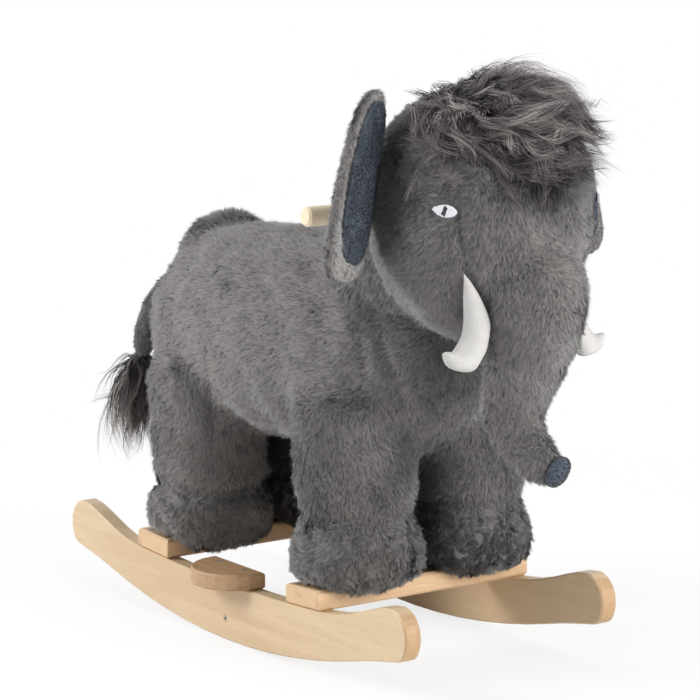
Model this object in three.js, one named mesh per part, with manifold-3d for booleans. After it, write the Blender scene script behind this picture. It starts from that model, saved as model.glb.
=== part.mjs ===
// Rocking mammoth: a stuffed plush animal on a solid beech rocker base.
// Millimetres. +X is the way the animal looks, +Y its left side, +Z up, and the floor is at zero.
import * as THREE from 'three';
import Module from 'manifold-3d';
import { mergeVertices } from 'three/addons/utils/BufferGeometryUtils.js';

const wasm = await Module();
wasm.setup();

// Clearances shared by everything that fits together
const seatGap = 0.3;
const drillGap = 0.15;
const cutOverrun = 6;

// Rockers
const rockerLength = 650;
const baseWidth = 270;
const rockerThickness = 19.5;
const rollRadius = 953;
const rollHalfLength = 240;
const rockerWaist = 62.2;
const rockerTopRadius = 2755;
const rockerTopHalfLength = 178;
const crestHeight = 97.6;
const crestInset = 25;
const tipHeight = 69.8;
const toeHeight = 45.5;
const toeInset = 14;
const toeShares = { run: 0.33, rise: 0.06, bulge: 0.65, lift: 0.15, lip: 0.5 };
const crestShares = { lip: 0.55, round: 0.5, back: 0.26, top: 0.46 };
const edgeRound = 1.6;

// Cross slats
const slatWidth = 61;
const slatThickness = 21;
const slatSpacing = 294;
const slatRound = 2.4;

// Stretcher between the rockers, low in the middle
const stretcherRadius = 9.5;
const stretcherHeight = 23.6;

// Foot rests
const footrestLength = 96;
const footrestReach = 54.5;
const footrestThickness = 17.5;
const footrestRound = 2;

// Handle
const handleLength = 270;
const handleRadius = 10.3;
const handleForward = 152;
const handleHeight = 471;
const handleRound = 2.5;

// Screws and bolts: head radius, shank radius, head depth and length of each kind
const slatScrew = { head: 4.4, shank: 2.1, sink: 3.4, length: 48, socket: 1.7 };
const footrestScrew = { head: 4.2, shank: 2, sink: 3.2, length: 42, socket: 1.6 };
const stretcherScrew = { head: 4, shank: 2.3, sink: 3.2, length: 56, socket: 1.8 };
const legBolt = { head: 7.5, shank: 3, sink: 5, length: 82, socket: 2.6 };
const slatScrewPitch = 36;
const footrestScrewPitch = 50;
const screwTipShare = 0.35;
const socketDepthShare = 0.7;

// Wooden skeleton inside the plush
const postWidth = 38;
const postSpacing = 132;
const seatTop = 318;
const seatThickness = 18;
const seatWidth = 150;
const seatFrontInset = 75;
const seatRearInset = 63;
const neckPostDepth = 42;
const neckPostWidth = 60;
const neckPostTop = 490;
const backBoardThickness = 12;
const backBoardWidth = 96;
const backBoardTop = 408;

// Body: shares are along, rise, half width and half height of the body's sizes
const bodyLength = 510;
const bodyWidth = 236;
const bodyHeight = 236;
const bodyCentre = new THREE.Vector3(-12, 0, 316);
const bodyShares = [
  [-0.5, -0.085, 0.45, 0.415], [-0.42, -0.05, 0.47, 0.445], [-0.28, -0.02, 0.49, 0.47],
  [-0.12, 0, 0.5, 0.485], [0.05, 0, 0.49, 0.485], [0.22, 0, 0.475, 0.485],
  [0.36, -0.01, 0.455, 0.48], [0.5, -0.03, 0.43, 0.46],
];
const bodyEndShares = { start: 0.3, end: 0.26 };
const bodyPower = 0.86;

// Head: a skull and the neck behind it, sewn as one
const headLength = 236;
const headWidth = 230;
const headHeight = 256;
const headCentre = new THREE.Vector3(262, 0, 476);
const headShares = [
  [-0.5, -0.04, 0.47, 0.42], [-0.3, 0, 0.495, 0.47], [-0.1, 0.01, 0.5, 0.5],
  [0.1, 0, 0.495, 0.5], [0.3, -0.02, 0.47, 0.48], [0.5, -0.06, 0.43, 0.43],
];
const headEndShares = { start: 0.5, end: 0.42 };
const headPower = 0.92;
const neckWidth = 176;
const neckDepth = 190;
const neckStart = new THREE.Vector3(96, 0, 360);
const neckReach = new THREE.Vector3(150, 0, 130);
const neckShares = [[0, 0.5], [0.5, 0.48], [1, 0.44]];
const neckEndShares = { start: 0.3, end: 0.5 };

// Trunk: shares are forward, rise, half width, half depth and, at the tip, to the left
const trunkReach = 62;
const trunkSway = 8;
const trunkDrop = 235;
const trunkWidth = 112;
const trunkRoot = new THREE.Vector3(340, 0, 440);
const trunkShares = [
  [0.22, 0.1, 0.51, 0.5], [0.22, -0.17, 0.495, 0.475], [0.1, -0.35, 0.42, 0.4],
  [-0.18, -0.55, 0.335, 0.33], [-0.24, -0.69, 0.285, 0.28], [0.03, -0.79, 0.245, 0.24],
  [0.36, -0.845, 0.205, 0.2, 0.1], [0.69, -0.885, 0.165, 0.16, 0.9],
];
const trunkEndShares = { start: 0.12, end: 0.06 };
const trunkPadThickness = 8;
const trunkPadShare = 0.9;
const padEndShares = { start: 0.3, end: 0.5 };

// Tusks: shares are forward, outward and rise, and the thickness
const tuskReach = 17;
const tuskSpread = 39;
const tuskDrop = 82;
const tuskThickness = 27;
const tuskRoot = new THREE.Vector3(330, 60, 424);
const tuskEndShares = { start: 0.2, end: 0.2 };
const tuskShares = [
  [-0.1, -0.05, 0.15, 0.2], [0.2, -0.05, -0.15, 0.4], [0.15, 0, -0.45, 0.5],
  [0.3, 0.2, -0.76, 0.52], [0.6, 0.55, -0.94, 0.45], [0.85, 0.97, -0.86, 0.29],
];

// Ears: a flat teardrop on the seam at the side of the head
const earWidth = 56;
const earHeight = 194;
const earThickness = 18;
const earRound = 8;
const earRoot = new THREE.Vector3(230, 115, 508);
const earSplay = THREE.MathUtils.degToRad(72);
const earLean = THREE.MathUtils.degToRad(-14);
const earFoldBack = THREE.MathUtils.degToRad(-35);
const earFoldForward = THREE.MathUtils.degToRad(8);
const liningThickness = 4;
const liningRound = 1;
const liningShare = 0.78;
const pocketShare = 0.01;
const earMiddleShare = 0.5;
const earShares = [
  [0, -0.28], [0.1, -0.44], [0.42, -0.5], [0.82, -0.46], [1, -0.27],
  [0.97, -0.02], [0.86, 0.21], [0.67, 0.4], [0.38, 0.5], [0.1, 0.46], [0, 0.28],
];

// Eyes: embroidered ovals with an upright slit
const eyeLength = 27;
const eyeHeight = 14;
const eyeThickness = 1.8;
const pupilWidth = 3.4;
const pupilProud = 0.8;
const pupilShare = 0.8;
const eyePlace = new THREE.Vector3(330, 93, 492);
const eyeTurn = THREE.MathUtils.degToRad(-35);
const eyeSlant = THREE.MathUtils.degToRad(8);

// Hair on the crown: shares are along, rise, half width and half height
const hairLength = 214;
const hairWidth = 176;
const hairHeight = 112;
const hairCentre = new THREE.Vector3(300, 0, 572);
const hairShares = [
  [-0.5, -0.18, 0.36, 0.34], [-0.25, -0.02, 0.46, 0.44], [0, 0.04, 0.5, 0.46],
  [0.25, -0.02, 0.46, 0.45], [0.5, -0.2, 0.34, 0.38],
];
const hairEndShares = { start: 0.5, end: 0.4 };

// Legs and feet
const legRadius = 64;
const legSpread = 71;
const legSteps = { front: -1, rear: 13 };
const legTop = 300;
const legShares = [[0, 0.94, 0.94], [0.3, 0.98, 0.98], [0.65, 1.03, 1.0], [1, 1.06, 1.02]];
const footRadius = 70;
const footHeight = 80;
const footForward = 6;
const footShares = [[0, 0.93], [0.3, 1], [0.6, 1], [1, 0.86]];
const footEndShares = { start: 0.3, end: 0.3 };
const footSag = 12;
const legOverlap = 16;
const legEndShares = { start: 0.2, end: 0.2 };
const limbPower = 0.95;

// Padded backrest over the rump
const backrestSpan = 106;
const backrestThickness = 40;
const backrestRise = 56;
const backrestSetback = 3;
const backrestHeight = 417;
const backrestShares = [
  [-0.06, -0.47, -1.05, 0.4], [-0.03, -0.4, -0.52, 0.48], [0, -0.24, -0.1, 0.5],
  [0, 0, 0, 0.5], [0, 0.24, -0.1, 0.5], [-0.03, 0.4, -0.52, 0.48], [-0.06, 0.47, -1.05, 0.4],
];
const backrestEndShares = { start: 0.12, end: 0.12 };

// Tail: shares are back, to the right and rise, and the thickness
const tailReach = 40;
const tailSweep = 36;
const tailDrop = 92;
const tailThickness = 29;
const tailInset = 17;
const tailAside = 23;
const tailHeight = 350;
const tailShares = [
  [0.3, 0.2, 0, 0.5], [-0.3, -0.5, -0.1, 0.5], [-0.7, -0.85, -0.45, 0.48],
  [-0.95, -0.95, -0.8, 0.44], [-1, -1, -1, 0.4],
];
const tailEndShares = { start: 0.2, end: 0.24 };
const tuftDrop = 100;
const tuftWidth = 60;
const tuftShares = [
  [0, 0, 0.06, 0.3], [-0.25, -0.05, -0.2, 0.44], [-0.55, -0.1, -0.45, 0.5],
  [-0.7, -0.1, -0.72, 0.42], [-0.75, -0.1, -1, 0.2],
];

// Counts
const softRings = 15;
const softSides = 20;
const smallRings = 9;
const smallSides = 14;
const limbSides = 16;
const screwSides = 8;
const curveSteps = 6;
const hexagon = 6;
const earRoundSteps = 2;
const foldSteps = 3;
const quarterTurn = Math.PI / 2;
const forwardWay = new THREE.Vector3(1, 0, 0);
const acrossWay = new THREE.Vector3(0, 1, 0);

const materials = {
  wood: { color: 0xdcbd94, roughness: 0.55, metalness: 0 },
  plush: { color: 0x686562, roughness: 1, metalness: 0 },
  velvet: { color: 0x3d4654, roughness: 0.95, metalness: 0 },
  hair: { color: 0x5f5755, roughness: 1, metalness: 0 },
  ivory: { color: 0xe8e6e3, roughness: 0.85, metalness: 0 },
  thread: { color: 0x201e20, roughness: 0.8, metalness: 0 },
  steel: { color: 0x8a8378, roughness: 0.4, metalness: 0.9 },
};

// Solids

function solidOf(geometry) {
  const bare = geometry.clone();
  bare.deleteAttribute('normal');
  bare.deleteAttribute('uv');
  const merged = mergeVertices(bare);
  return new wasm.Manifold(new wasm.Mesh({
    numProp: 3,
    vertProperties: new Float32Array(merged.attributes.position.array),
    triVerts: new Uint32Array(merged.index.array),
  }));
}

function geometryOf(solid) {
  const mesh = solid.getMesh();
  const geometry = new THREE.BufferGeometry();
  geometry.setAttribute('position', new THREE.BufferAttribute(mesh.vertProperties, 3));
  geometry.setIndex(new THREE.BufferAttribute(mesh.triVerts, 1));
  return geometry;
}

function cut(geometry, cutters) {
  let solid = solidOf(geometry);
  for (const cutter of cutters) {
    solid = solid.subtract(solidOf(cutter));
  }
  return geometryOf(solid);
}

function join(geometry, others) {
  let solid = solidOf(geometry);
  for (const other of others) {
    solid = solid.add(solidOf(other));
  }
  return geometryOf(solid);
}

// Shared shapes

function block(x, y, z, centre) {
  return new THREE.BoxGeometry(x, y, z).translate(centre.x, centre.y, centre.z);
}

function plate(shape, thickness, round) {
  const geometry = new THREE.ExtrudeGeometry(shape, {
    depth: thickness - 2 * round,
    bevelEnabled: round > 0,
    bevelThickness: round,
    bevelSize: round,
    bevelOffset: -round,
    bevelSegments: 1,
    curveSegments: curveSteps,
  });
  return geometry.translate(0, 0, round - thickness / 2);
}

// A countersunk screw that points down from its head's top at the local origin
function screwBlank(kind, grow, overrun) {
  const tip = kind.shank * screwTipShare;
  const profile = [
    new THREE.Vector2(0, -kind.length - grow),
    new THREE.Vector2(tip + grow, -kind.length - grow),
    new THREE.Vector2(kind.shank + grow, -kind.length + kind.shank),
    new THREE.Vector2(kind.shank + grow, -kind.sink - grow),
    new THREE.Vector2(kind.head + grow, -grow),
    new THREE.Vector2(kind.head + grow, overrun),
    new THREE.Vector2(0, overrun),
  ];
  const points = overrun > 0 ? profile : profile.filter((point, index) => index !== 5);
  return new THREE.LatheGeometry(points, screwSides).rotateX(quarterTurn);
}

function screwOf(kind) {
  const depth = kind.sink * socketDepthShare;
  const socket = new THREE.CylinderGeometry(kind.socket, kind.socket, depth + cutOverrun, hexagon);
  socket.rotateX(quarterTurn).translate(0, 0, (cutOverrun - depth) / 2);
  return cut(screwBlank(kind, 0, 0), [socket]);
}

function screwHole(kind, matrix) {
  return screwBlank(kind, drillGap, cutOverrun).applyMatrix4(matrix);
}

function placed(position, rotation) {
  const turn = new THREE.Quaternion().setFromEuler(rotation ?? new THREE.Euler());
  return new THREE.Matrix4().compose(position, turn, new THREE.Vector3(1, 1, 1));
}

function interpolated(rows, column, at) {
  const steps = rows.map((row, index) => index);
  const values = rows.map((row) => row[column]);
  return new THREE.CubicInterpolant(steps, values, 1).evaluate(at)[0];
}

// How full a form is at a share of its length, with both ends rounded over a cap
function roundness(share, endShares) {
  const start = Math.min(1, share / endShares.start);
  const end = Math.min(1, (1 - share) / endShares.end);
  return Math.sqrt(Math.max(0, 1 - (1 - start) ** 2)) * Math.sqrt(Math.max(0, 1 - (1 - end) ** 2));
}

// A stuffed form: rings round a curved middle line, swelling and tapering as its rows say.
// Each row is a point, its half size along the reference and its half size across it.
function softForm(form, grow = 0) {
  const { points, halves, reference, rings, sides, endShares, power } = form;
  const line = new THREE.CatmullRomCurve3(points, false, 'centripetal');
  const positions = [];
  const start = line.getPoint(0).addScaledVector(line.getTangent(0), -grow);
  const end = line.getPoint(1).addScaledVector(line.getTangent(1), grow);
  positions.push(...start.toArray());
  for (let ring = 1; ring < rings; ring += 1) {
    const share = (1 - Math.cos(Math.PI * ring / rings)) / 2;
    const middle = line.getPoint(share);
    const along = line.getTangent(share);
    const first = reference.clone().addScaledVector(along, -reference.dot(along)).normalize();
    const second = new THREE.Vector3().crossVectors(along, first);
    const fullness = roundness(share, endShares);
    const wide = interpolated(halves, 0, share * (halves.length - 1)) * fullness + grow;
    const deep = interpolated(halves, 1, share * (halves.length - 1)) * fullness + grow;
    for (let side = 0; side < sides; side += 1) {
      const angle = 2 * Math.PI * side / sides;
      const across = Math.sign(Math.cos(angle)) * Math.abs(Math.cos(angle)) ** power;
      const over = Math.sign(Math.sin(angle)) * Math.abs(Math.sin(angle)) ** power;
      const point = middle.clone()
        .addScaledVector(first, wide * across)
        .addScaledVector(second, deep * over);
      positions.push(...point.toArray());
    }
  }
  positions.push(...end.toArray());
  return capped(positions, rings, sides);
}

// Triangles of a form that has a point at each end and rings of equal counts between them
function capped(positions, rings, sides) {
  const faces = [];
  const last = 1 + (rings - 1) * sides;
  for (let side = 0; side < sides; side += 1) {
    const next = (side + 1) % sides;
    faces.push(0, 1 + next, 1 + side);
    for (let ring = 0; ring < rings - 2; ring += 1) {
      const low = 1 + ring * sides;
      const high = low + sides;
      faces.push(low + side, low + next, high + next, low + side, high + next, high + side);
    }
    faces.push(last, last - sides + side, last - sides + next);
  }
  const geometry = new THREE.BufferGeometry();
  geometry.setAttribute('position', new THREE.BufferAttribute(new Float32Array(positions), 3));
  geometry.setIndex(faces);
  return facingOut(geometry);
}

function facingOut(geometry) {
  const place = geometry.attributes.position;
  const index = geometry.index.array;
  const corner = (at) => new THREE.Vector3().fromBufferAttribute(place, index[at]);
  let volume = 0;
  for (let at = 0; at < index.length; at += 3) {
    volume += corner(at).dot(corner(at + 1).cross(corner(at + 2)));
  }
  if (volume < 0) {
    for (let at = 0; at < index.length; at += 3) {
      [index[at + 1], index[at + 2]] = [index[at + 2], index[at + 1]];
    }
  }
  return geometry;
}

// A form whose rows lie along X and rise, such as the body, the head and the hair
function lyingForm(centre, size, rows, endShares, power) {
  return {
    points: rows.map(([along, rise]) => new THREE.Vector3(along * size.x, 0, rise * size.z).add(centre)),
    halves: rows.map(([, , wide, high]) => [wide * size.y, high * size.z]),
    reference: acrossWay,
    rings: softRings,
    sides: softSides,
    endShares,
    power,
  };
}

// Materials and nodes

const mammoth = new THREE.Group();

function piece(name, geometry, finishName, anchor = new THREE.Matrix4()) {
  const local = geometry.clone().applyMatrix4(anchor.clone().invert());
  const mesh = new THREE.Mesh(local, new THREE.MeshStandardMaterial(materials[finishName]));
  mesh.name = name;
  mesh.applyMatrix4(anchor);
  mammoth.add(mesh);
  return mesh;
}

const sides = { right: -1, left: 1 };
const ends = { front: 1, rear: -1 };

function mirrored(point, sign) {
  return new THREE.Vector3(point.x, point.y * sign, point.z);
}

// Wooden base

function rockerOutline() {
  const half = rockerLength / 2;
  const rollAngle = Math.asin(rollHalfLength / rollRadius);
  const topAngle = Math.asin(rockerTopHalfLength / rockerTopRadius);
  const rollEnd = [rollHalfLength, rollRadius * (1 - Math.cos(rollAngle))];
  const topEnd = [rockerTopHalfLength, rockerWaist + rockerTopRadius * (1 - Math.cos(topAngle))];
  const toe = [half - toeInset, toeHeight];
  const crest = [half - crestInset, crestHeight];
  const run = toe[0] - rollEnd[0];
  const back = crest[0] - topEnd[0];
  const path = [
    rollEnd,
    [rollEnd[0] + run * toeShares.run, rollEnd[1] + run * toeShares.run * Math.tan(rollAngle)],
    [toe[0] - run * toeShares.run, toe[1] - run * toeShares.rise],
    toe,
    [toe[0] + toeInset * toeShares.bulge, toe[1] + toeInset * toeShares.lift],
    [half, toe[1] + (tipHeight - toe[1]) * toeShares.lip],
    [half, tipHeight],
    [half, tipHeight + (crestHeight - tipHeight) * crestShares.lip],
    [half - crestInset * crestShares.round, crestHeight],
    crest,
    [crest[0] - back * crestShares.back, crestHeight],
    [topEnd[0] + back * crestShares.top, topEnd[1] + back * crestShares.top * Math.tan(topAngle)],
    topEnd,
  ];
  const shape = new THREE.Shape();
  shape.absarc(0, rollRadius, rollRadius, -quarterTurn - rollAngle, -quarterTurn + rollAngle, false);
  for (let at = 0; at + 3 < path.length; at += 3) {
    shape.bezierCurveTo(...path[at + 1], ...path[at + 2], ...path[at + 3]);
  }
  const middle = rockerWaist + rockerTopRadius;
  shape.absarc(0, middle, rockerTopRadius, -quarterTurn + topAngle, -quarterTurn - topAngle, true);
  const other = path.map(([along, rise]) => [-along, rise]).reverse();
  for (let at = 0; at + 3 < other.length; at += 3) {
    shape.bezierCurveTo(...other[at + 1], ...other[at + 2], ...other[at + 3]);
  }
  return shape;
}

const rockerMiddle = (baseWidth - rockerThickness) / 2;
const rockerInside = baseWidth / 2 - rockerThickness;

function slatMatrix(end) {
  const angle = Math.asin(slatSpacing / 2 / rockerTopRadius);
  const sag = slatWidth ** 2 / (8 * rockerTopRadius);
  const lift = seatGap + sag + slatThickness / 2;
  const reach = rockerTopRadius - lift;
  const height = rockerWaist + rockerTopRadius - reach * Math.cos(angle);
  const place = new THREE.Vector3(end * reach * Math.sin(angle), 0, height);
  return placed(place, new THREE.Euler(0, -end * angle, 0));
}

function slatOutline() {
  const shape = new THREE.Shape();
  shape.moveTo(-slatWidth / 2, -baseWidth / 2);
  shape.lineTo(slatWidth / 2, -baseWidth / 2);
  shape.lineTo(slatWidth / 2, baseWidth / 2);
  shape.lineTo(-slatWidth / 2, baseWidth / 2);
  return shape;
}

function slatRoom(end) {
  const room = new THREE.BoxGeometry(
    slatWidth + 2 * seatGap, baseWidth + cutOverrun, slatThickness + 2 * seatGap,
  );
  return room.applyMatrix4(slatMatrix(end));
}

// Every fastener: its name, its kind and the matrix that places it, head outwards
const fasteners = [];

for (const [endName, end] of Object.entries(ends)) {
  const slatFrame = slatMatrix(end);
  for (const [sideName, side] of Object.entries(sides)) {
    for (const [rowName, row] of Object.entries({ outer: 1, inner: -1 })) {
      const spot = new THREE.Vector3(end * row * slatScrewPitch / 2, side * rockerMiddle, slatThickness / 2);
      fasteners.push({
        name: `slat_screw_${endName}_${sideName}_${rowName}`,
        kind: slatScrew,
        matrix: slatFrame.clone().multiply(placed(spot)),
      });
    }
    const under = new THREE.Vector3(0, side * postSpacing / 2, -slatThickness / 2);
    fasteners.push({
      name: `leg_bolt_${endName}_${sideName}`,
      kind: legBolt,
      matrix: slatFrame.clone().multiply(placed(under, new THREE.Euler(Math.PI, 0, 0))),
    });
  }
}

const footrestSeat = rockerWaist + (footrestLength / 2) ** 2 / (2 * rockerTopRadius) + seatGap;

for (const [sideName, side] of Object.entries(sides)) {
  for (const [endName, end] of Object.entries(ends)) {
    const spot = new THREE.Vector3(
      end * footrestScrewPitch / 2, side * rockerMiddle, footrestSeat + footrestThickness,
    );
    fasteners.push({
      name: `footrest_screw_${sideName}_${endName}`,
      kind: footrestScrew,
      matrix: placed(spot),
    });
  }
  fasteners.push({
    name: `stretcher_screw_${sideName}`,
    kind: stretcherScrew,
    matrix: placed(
      new THREE.Vector3(0, side * baseWidth / 2, stretcherHeight),
      new THREE.Euler(-side * quarterTurn, 0, 0),
    ),
  });
}

function holes(start) {
  return fasteners.filter(({ name }) => name.startsWith(start))
    .map(({ kind, matrix }) => screwHole(kind, matrix));
}

for (const { name, kind, matrix } of fasteners) {
  piece(name, screwOf(kind).applyMatrix4(matrix), 'steel', matrix);
}

for (const [sideName, side] of Object.entries(sides)) {
  const anchor = placed(new THREE.Vector3(0, side * rockerMiddle, 0));
  const board = plate(rockerOutline(), rockerThickness, edgeRound).rotateX(quarterTurn);
  board.applyMatrix4(anchor);
  const drilled = cut(board, [
    ...holes('slat_screw'), ...holes(`footrest_screw_${sideName}`), ...holes('stretcher_screw'),
  ]);
  piece(`rocker_${sideName}`, drilled, 'wood', anchor);
}

for (const [endName, end] of Object.entries(ends)) {
  const slat = plate(slatOutline(), slatThickness, slatRound).applyMatrix4(slatMatrix(end));
  const drilled = cut(slat, [...holes(`slat_screw_${endName}`), ...holes(`leg_bolt_${endName}`)]);
  piece(`${endName}_slat`, drilled, 'wood', slatMatrix(end));
}

const stretcherMatrix = placed(new THREE.Vector3(0, 0, stretcherHeight));
const stretcherLength = 2 * (rockerInside - seatGap);
const stretcher = new THREE.CylinderGeometry(stretcherRadius, stretcherRadius, stretcherLength, softSides);
stretcher.applyMatrix4(stretcherMatrix);
piece('stretcher', cut(stretcher, holes('stretcher_screw')), 'wood', stretcherMatrix);

function footrestOutline() {
  const radius = footrestLength / 2;
  const straight = footrestReach - radius;
  const shape = new THREE.Shape();
  shape.moveTo(-radius, 0);
  shape.lineTo(radius, 0);
  shape.lineTo(radius, straight);
  shape.absarc(0, straight, radius, 0, Math.PI, false);
  return shape;
}

for (const [sideName, side] of Object.entries(sides)) {
  const height = footrestSeat + footrestThickness / 2;
  const anchor = placed(
    new THREE.Vector3(0, side * rockerInside, height),
    new THREE.Euler(0, 0, side > 0 ? 0 : Math.PI),
  );
  const step = plate(footrestOutline(), footrestThickness, footrestRound).applyMatrix4(anchor);
  piece(`footrest_${sideName}`, cut(step, holes(`footrest_screw_${sideName}`)), 'wood', anchor);
}

// Wooden skeleton

const seatRear = bodyCentre.x - bodyLength / 2 + seatRearInset;
const seatLength = bodyLength - seatFrontInset - seatRearInset;
const seatCentre = new THREE.Vector3(seatRear + seatLength / 2, 0, seatTop - seatThickness / 2);
const seatBoard = block(seatLength, seatWidth, seatThickness, seatCentre);
piece('seat_board', seatBoard, 'wood', placed(seatCentre));

function postBlock(end, side, grow) {
  const low = slatMatrix(end).elements[14];
  const high = seatTop - seatThickness - seatGap + grow;
  const centre = new THREE.Vector3(end * slatSpacing / 2, side * postSpacing / 2, (low + high) / 2);
  return { geometry: block(postWidth + 2 * grow, postWidth + 2 * grow, high - low, centre), centre };
}

const skeletonRoom = [
  block(seatLength + 2 * seatGap, seatWidth + 2 * seatGap, seatThickness + 2 * seatGap, seatCentre),
];

for (const [endName, end] of Object.entries(ends)) {
  for (const [sideName, side] of Object.entries(sides)) {
    const { geometry, centre } = postBlock(end, side, 0);
    const post = cut(geometry, [slatRoom(end), ...holes(`leg_bolt_${endName}_${sideName}`)]);
    piece(`leg_post_${endName}_${sideName}`, post, 'wood', placed(centre));
    skeletonRoom.push(postBlock(end, side, seatGap).geometry);
  }
}

function handleRod(radius, length) {
  const half = length / 2;
  const profile = [
    new THREE.Vector2(0, -half),
    new THREE.Vector2(radius - handleRound, -half),
    new THREE.Vector2(radius, handleRound - half),
    new THREE.Vector2(radius, half - handleRound),
    new THREE.Vector2(radius - handleRound, half),
    new THREE.Vector2(0, half),
  ];
  return new THREE.LatheGeometry(profile, softSides).translate(handleForward, 0, 0);
}

const handlePlace = placed(new THREE.Vector3(0, 0, handleHeight));
const handleBore = handleRod(handleRadius + drillGap, handleLength).applyMatrix4(handlePlace);
const handlePassage = handleRod(handleRadius + seatGap, handleLength).applyMatrix4(handlePlace);
piece('handle_bar', handleRod(handleRadius, handleLength).applyMatrix4(handlePlace), 'wood', handlePlace);

function neckPostBlock(grow) {
  const low = seatTop + seatGap - grow;
  const high = neckPostTop + grow;
  const centre = new THREE.Vector3(handleForward, 0, (low + high) / 2);
  const geometry = block(neckPostDepth + 2 * grow, neckPostWidth + 2 * grow, high - low, centre);
  return { geometry, centre };
}

const neckPost = neckPostBlock(0);
piece('neck_post', cut(neckPost.geometry, [handleBore]), 'wood', placed(neckPost.centre));
skeletonRoom.push(neckPostBlock(seatGap).geometry);

function backBoardBlock(grow) {
  const low = seatTop + seatGap - grow;
  const high = backBoardTop + grow;
  const centre = new THREE.Vector3(seatRear + backBoardThickness / 2, 0, (low + high) / 2);
  const geometry = block(backBoardThickness + 2 * grow, backBoardWidth + 2 * grow, high - low, centre);
  return { geometry, centre };
}

const backBoard = backBoardBlock(0);
piece('backrest_board', backBoard.geometry, 'wood', placed(backBoard.centre));
skeletonRoom.push(backBoardBlock(seatGap).geometry);

// Plush body

const bodySize = new THREE.Vector3(bodyLength, bodyWidth, bodyHeight);
const bodyForm = lyingForm(bodyCentre, bodySize, bodyShares, bodyEndShares, bodyPower);
const bodyRoom = softForm(bodyForm, seatGap);
piece('body', cut(softForm(bodyForm), skeletonRoom), 'plush');

// Legs and feet

const legForms = [];

for (const [endName, end] of Object.entries(ends)) {
  for (const [sideName, side] of Object.entries(sides)) {
    const place = end * slatSpacing / 2 + legSteps[endName];
    const slatTop = slatMatrix(end).elements[14] + slatThickness / 2;
    const footTop = slatTop + footHeight;
    const footMiddle = new THREE.Vector3(place + footForward, side * legSpread, 0);
    const foot = {
      points: footShares.map(([rise]) => (
        footMiddle.clone().setZ(slatTop - footSag + rise * (footHeight + footSag))
      )),
      halves: footShares.map(([, wide]) => [wide * footRadius, wide * footRadius]),
      reference: acrossWay,
      rings: smallRings,
      sides: limbSides,
      endShares: footEndShares,
      power: limbPower,
    };
    const legBottom = footTop - legOverlap;
    const leg = {
      points: legShares.map(([rise]) => new THREE.Vector3(
        place, side * legSpread, legBottom + rise * (legTop - legBottom),
      )),
      halves: legShares.map(([, wide, deep]) => [wide * legRadius, deep * legRadius]),
      reference: acrossWay,
      rings: smallRings,
      sides: limbSides,
      endShares: legEndShares,
      power: limbPower,
    };
    legForms.push({ name: `${endName}_${sideName}`, foot, leg, end, side });
  }
}

for (const { name, foot, leg, end, side } of legForms) {
  const post = postBlock(end, side, seatGap).geometry;
  piece(`leg_${name}`, cut(softForm(leg), [bodyRoom, post]), 'plush');
  piece(`foot_${name}`, cut(softForm(foot), [softForm(leg, seatGap), post, slatRoom(end)]), 'plush');
}

// Head with its neck

const headSize = new THREE.Vector3(headLength, headWidth, headHeight);
const headForm = lyingForm(headCentre, headSize, headShares, headEndShares, headPower);
const neckForm = {
  points: neckShares.map(([along]) => neckStart.clone().addScaledVector(neckReach, along)),
  halves: neckShares.map(([, full]) => [full * neckWidth, full * neckDepth]),
  reference: acrossWay,
  rings: smallRings,
  sides: limbSides,
  endShares: neckEndShares,
  power: limbPower,
};
const wholeHead = join(softForm(headForm), [softForm(neckForm)]);
const headRoom = join(softForm(headForm, seatGap), [softForm(neckForm, seatGap)]);
piece('head', cut(wholeHead, [bodyRoom, neckPostBlock(seatGap).geometry, handlePassage]), 'plush');

// Forms placed by rows of shares round a root

function rootedForm(root, reach, rows, thickness, side, endShares, counts) {
  return {
    points: rows.map(([along, across, rise]) => new THREE.Vector3(
      root.x + along * reach.x, side * (root.y + across * reach.y), root.z + rise * reach.z,
    )),
    halves: rows.map((row) => [row[3] * thickness, (row[4] ?? row[3]) * thickness]),
    reference: acrossWay,
    rings: counts.rings,
    sides: counts.sides,
    endShares,
    power: 1,
  };
}

const trunkForm = rootedForm(
  trunkRoot,
  new THREE.Vector3(trunkReach, trunkSway, trunkDrop),
  trunkShares.map(([along, rise, wide, deep, aside]) => [along, aside ?? 0, rise, wide, deep]),
  trunkWidth,
  1,
  trunkEndShares,
  { rings: softRings, sides: limbSides },
);
const trunkRoom = softForm(trunkForm, seatGap);
piece('trunk', cut(softForm(trunkForm), [headRoom]), 'plush', placed(trunkRoot));

// A fabric pad closes the tip of the trunk
const trunkLine = new THREE.CatmullRomCurve3(trunkForm.points, false, 'centripetal');
const trunkTip = trunkLine.getPoint(1);
const trunkWay = trunkLine.getTangent(1);
const padRadius = trunkShares[trunkShares.length - 1][2] * trunkWidth * trunkPadShare;
const padForm = {
  points: [-1, 0, 1].map((step) => trunkTip.clone().addScaledVector(trunkWay, step * trunkPadThickness)),
  halves: [padRadius, padRadius, padRadius].map((radius) => [radius, radius]),
  reference: acrossWay,
  rings: smallRings,
  sides: smallSides,
  endShares: padEndShares,
  power: 1,
};
piece('trunk_pad', cut(softForm(padForm), [trunkRoom]), 'velvet', placed(trunkTip));

const tuskReaches = new THREE.Vector3(tuskReach, tuskSpread, tuskDrop);
const smallCounts = { rings: smallRings, sides: smallSides };

for (const [sideName, side] of Object.entries(sides)) {
  const tusk = {
    ...rootedForm(tuskRoot, tuskReaches, tuskShares, tuskThickness, side, tuskEndShares, smallCounts),
    reference: forwardWay,
  };
  piece(`tusk_${sideName}`, cut(softForm(tusk), [headRoom, trunkRoom]), 'ivory');
}

// Ears

function earOutline(share) {
  const shape = new THREE.Shape();
  const inset = earMiddleShare * (1 - share);
  const points = earShares.map(([across, rise]) => new THREE.Vector2(
    (inset + across * share) * earWidth, rise * share * earHeight,
  ));
  shape.moveTo(points[0].x, points[0].y);
  shape.splineThru([...points.slice(1), points[0]]);
  return shape;
}

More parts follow.
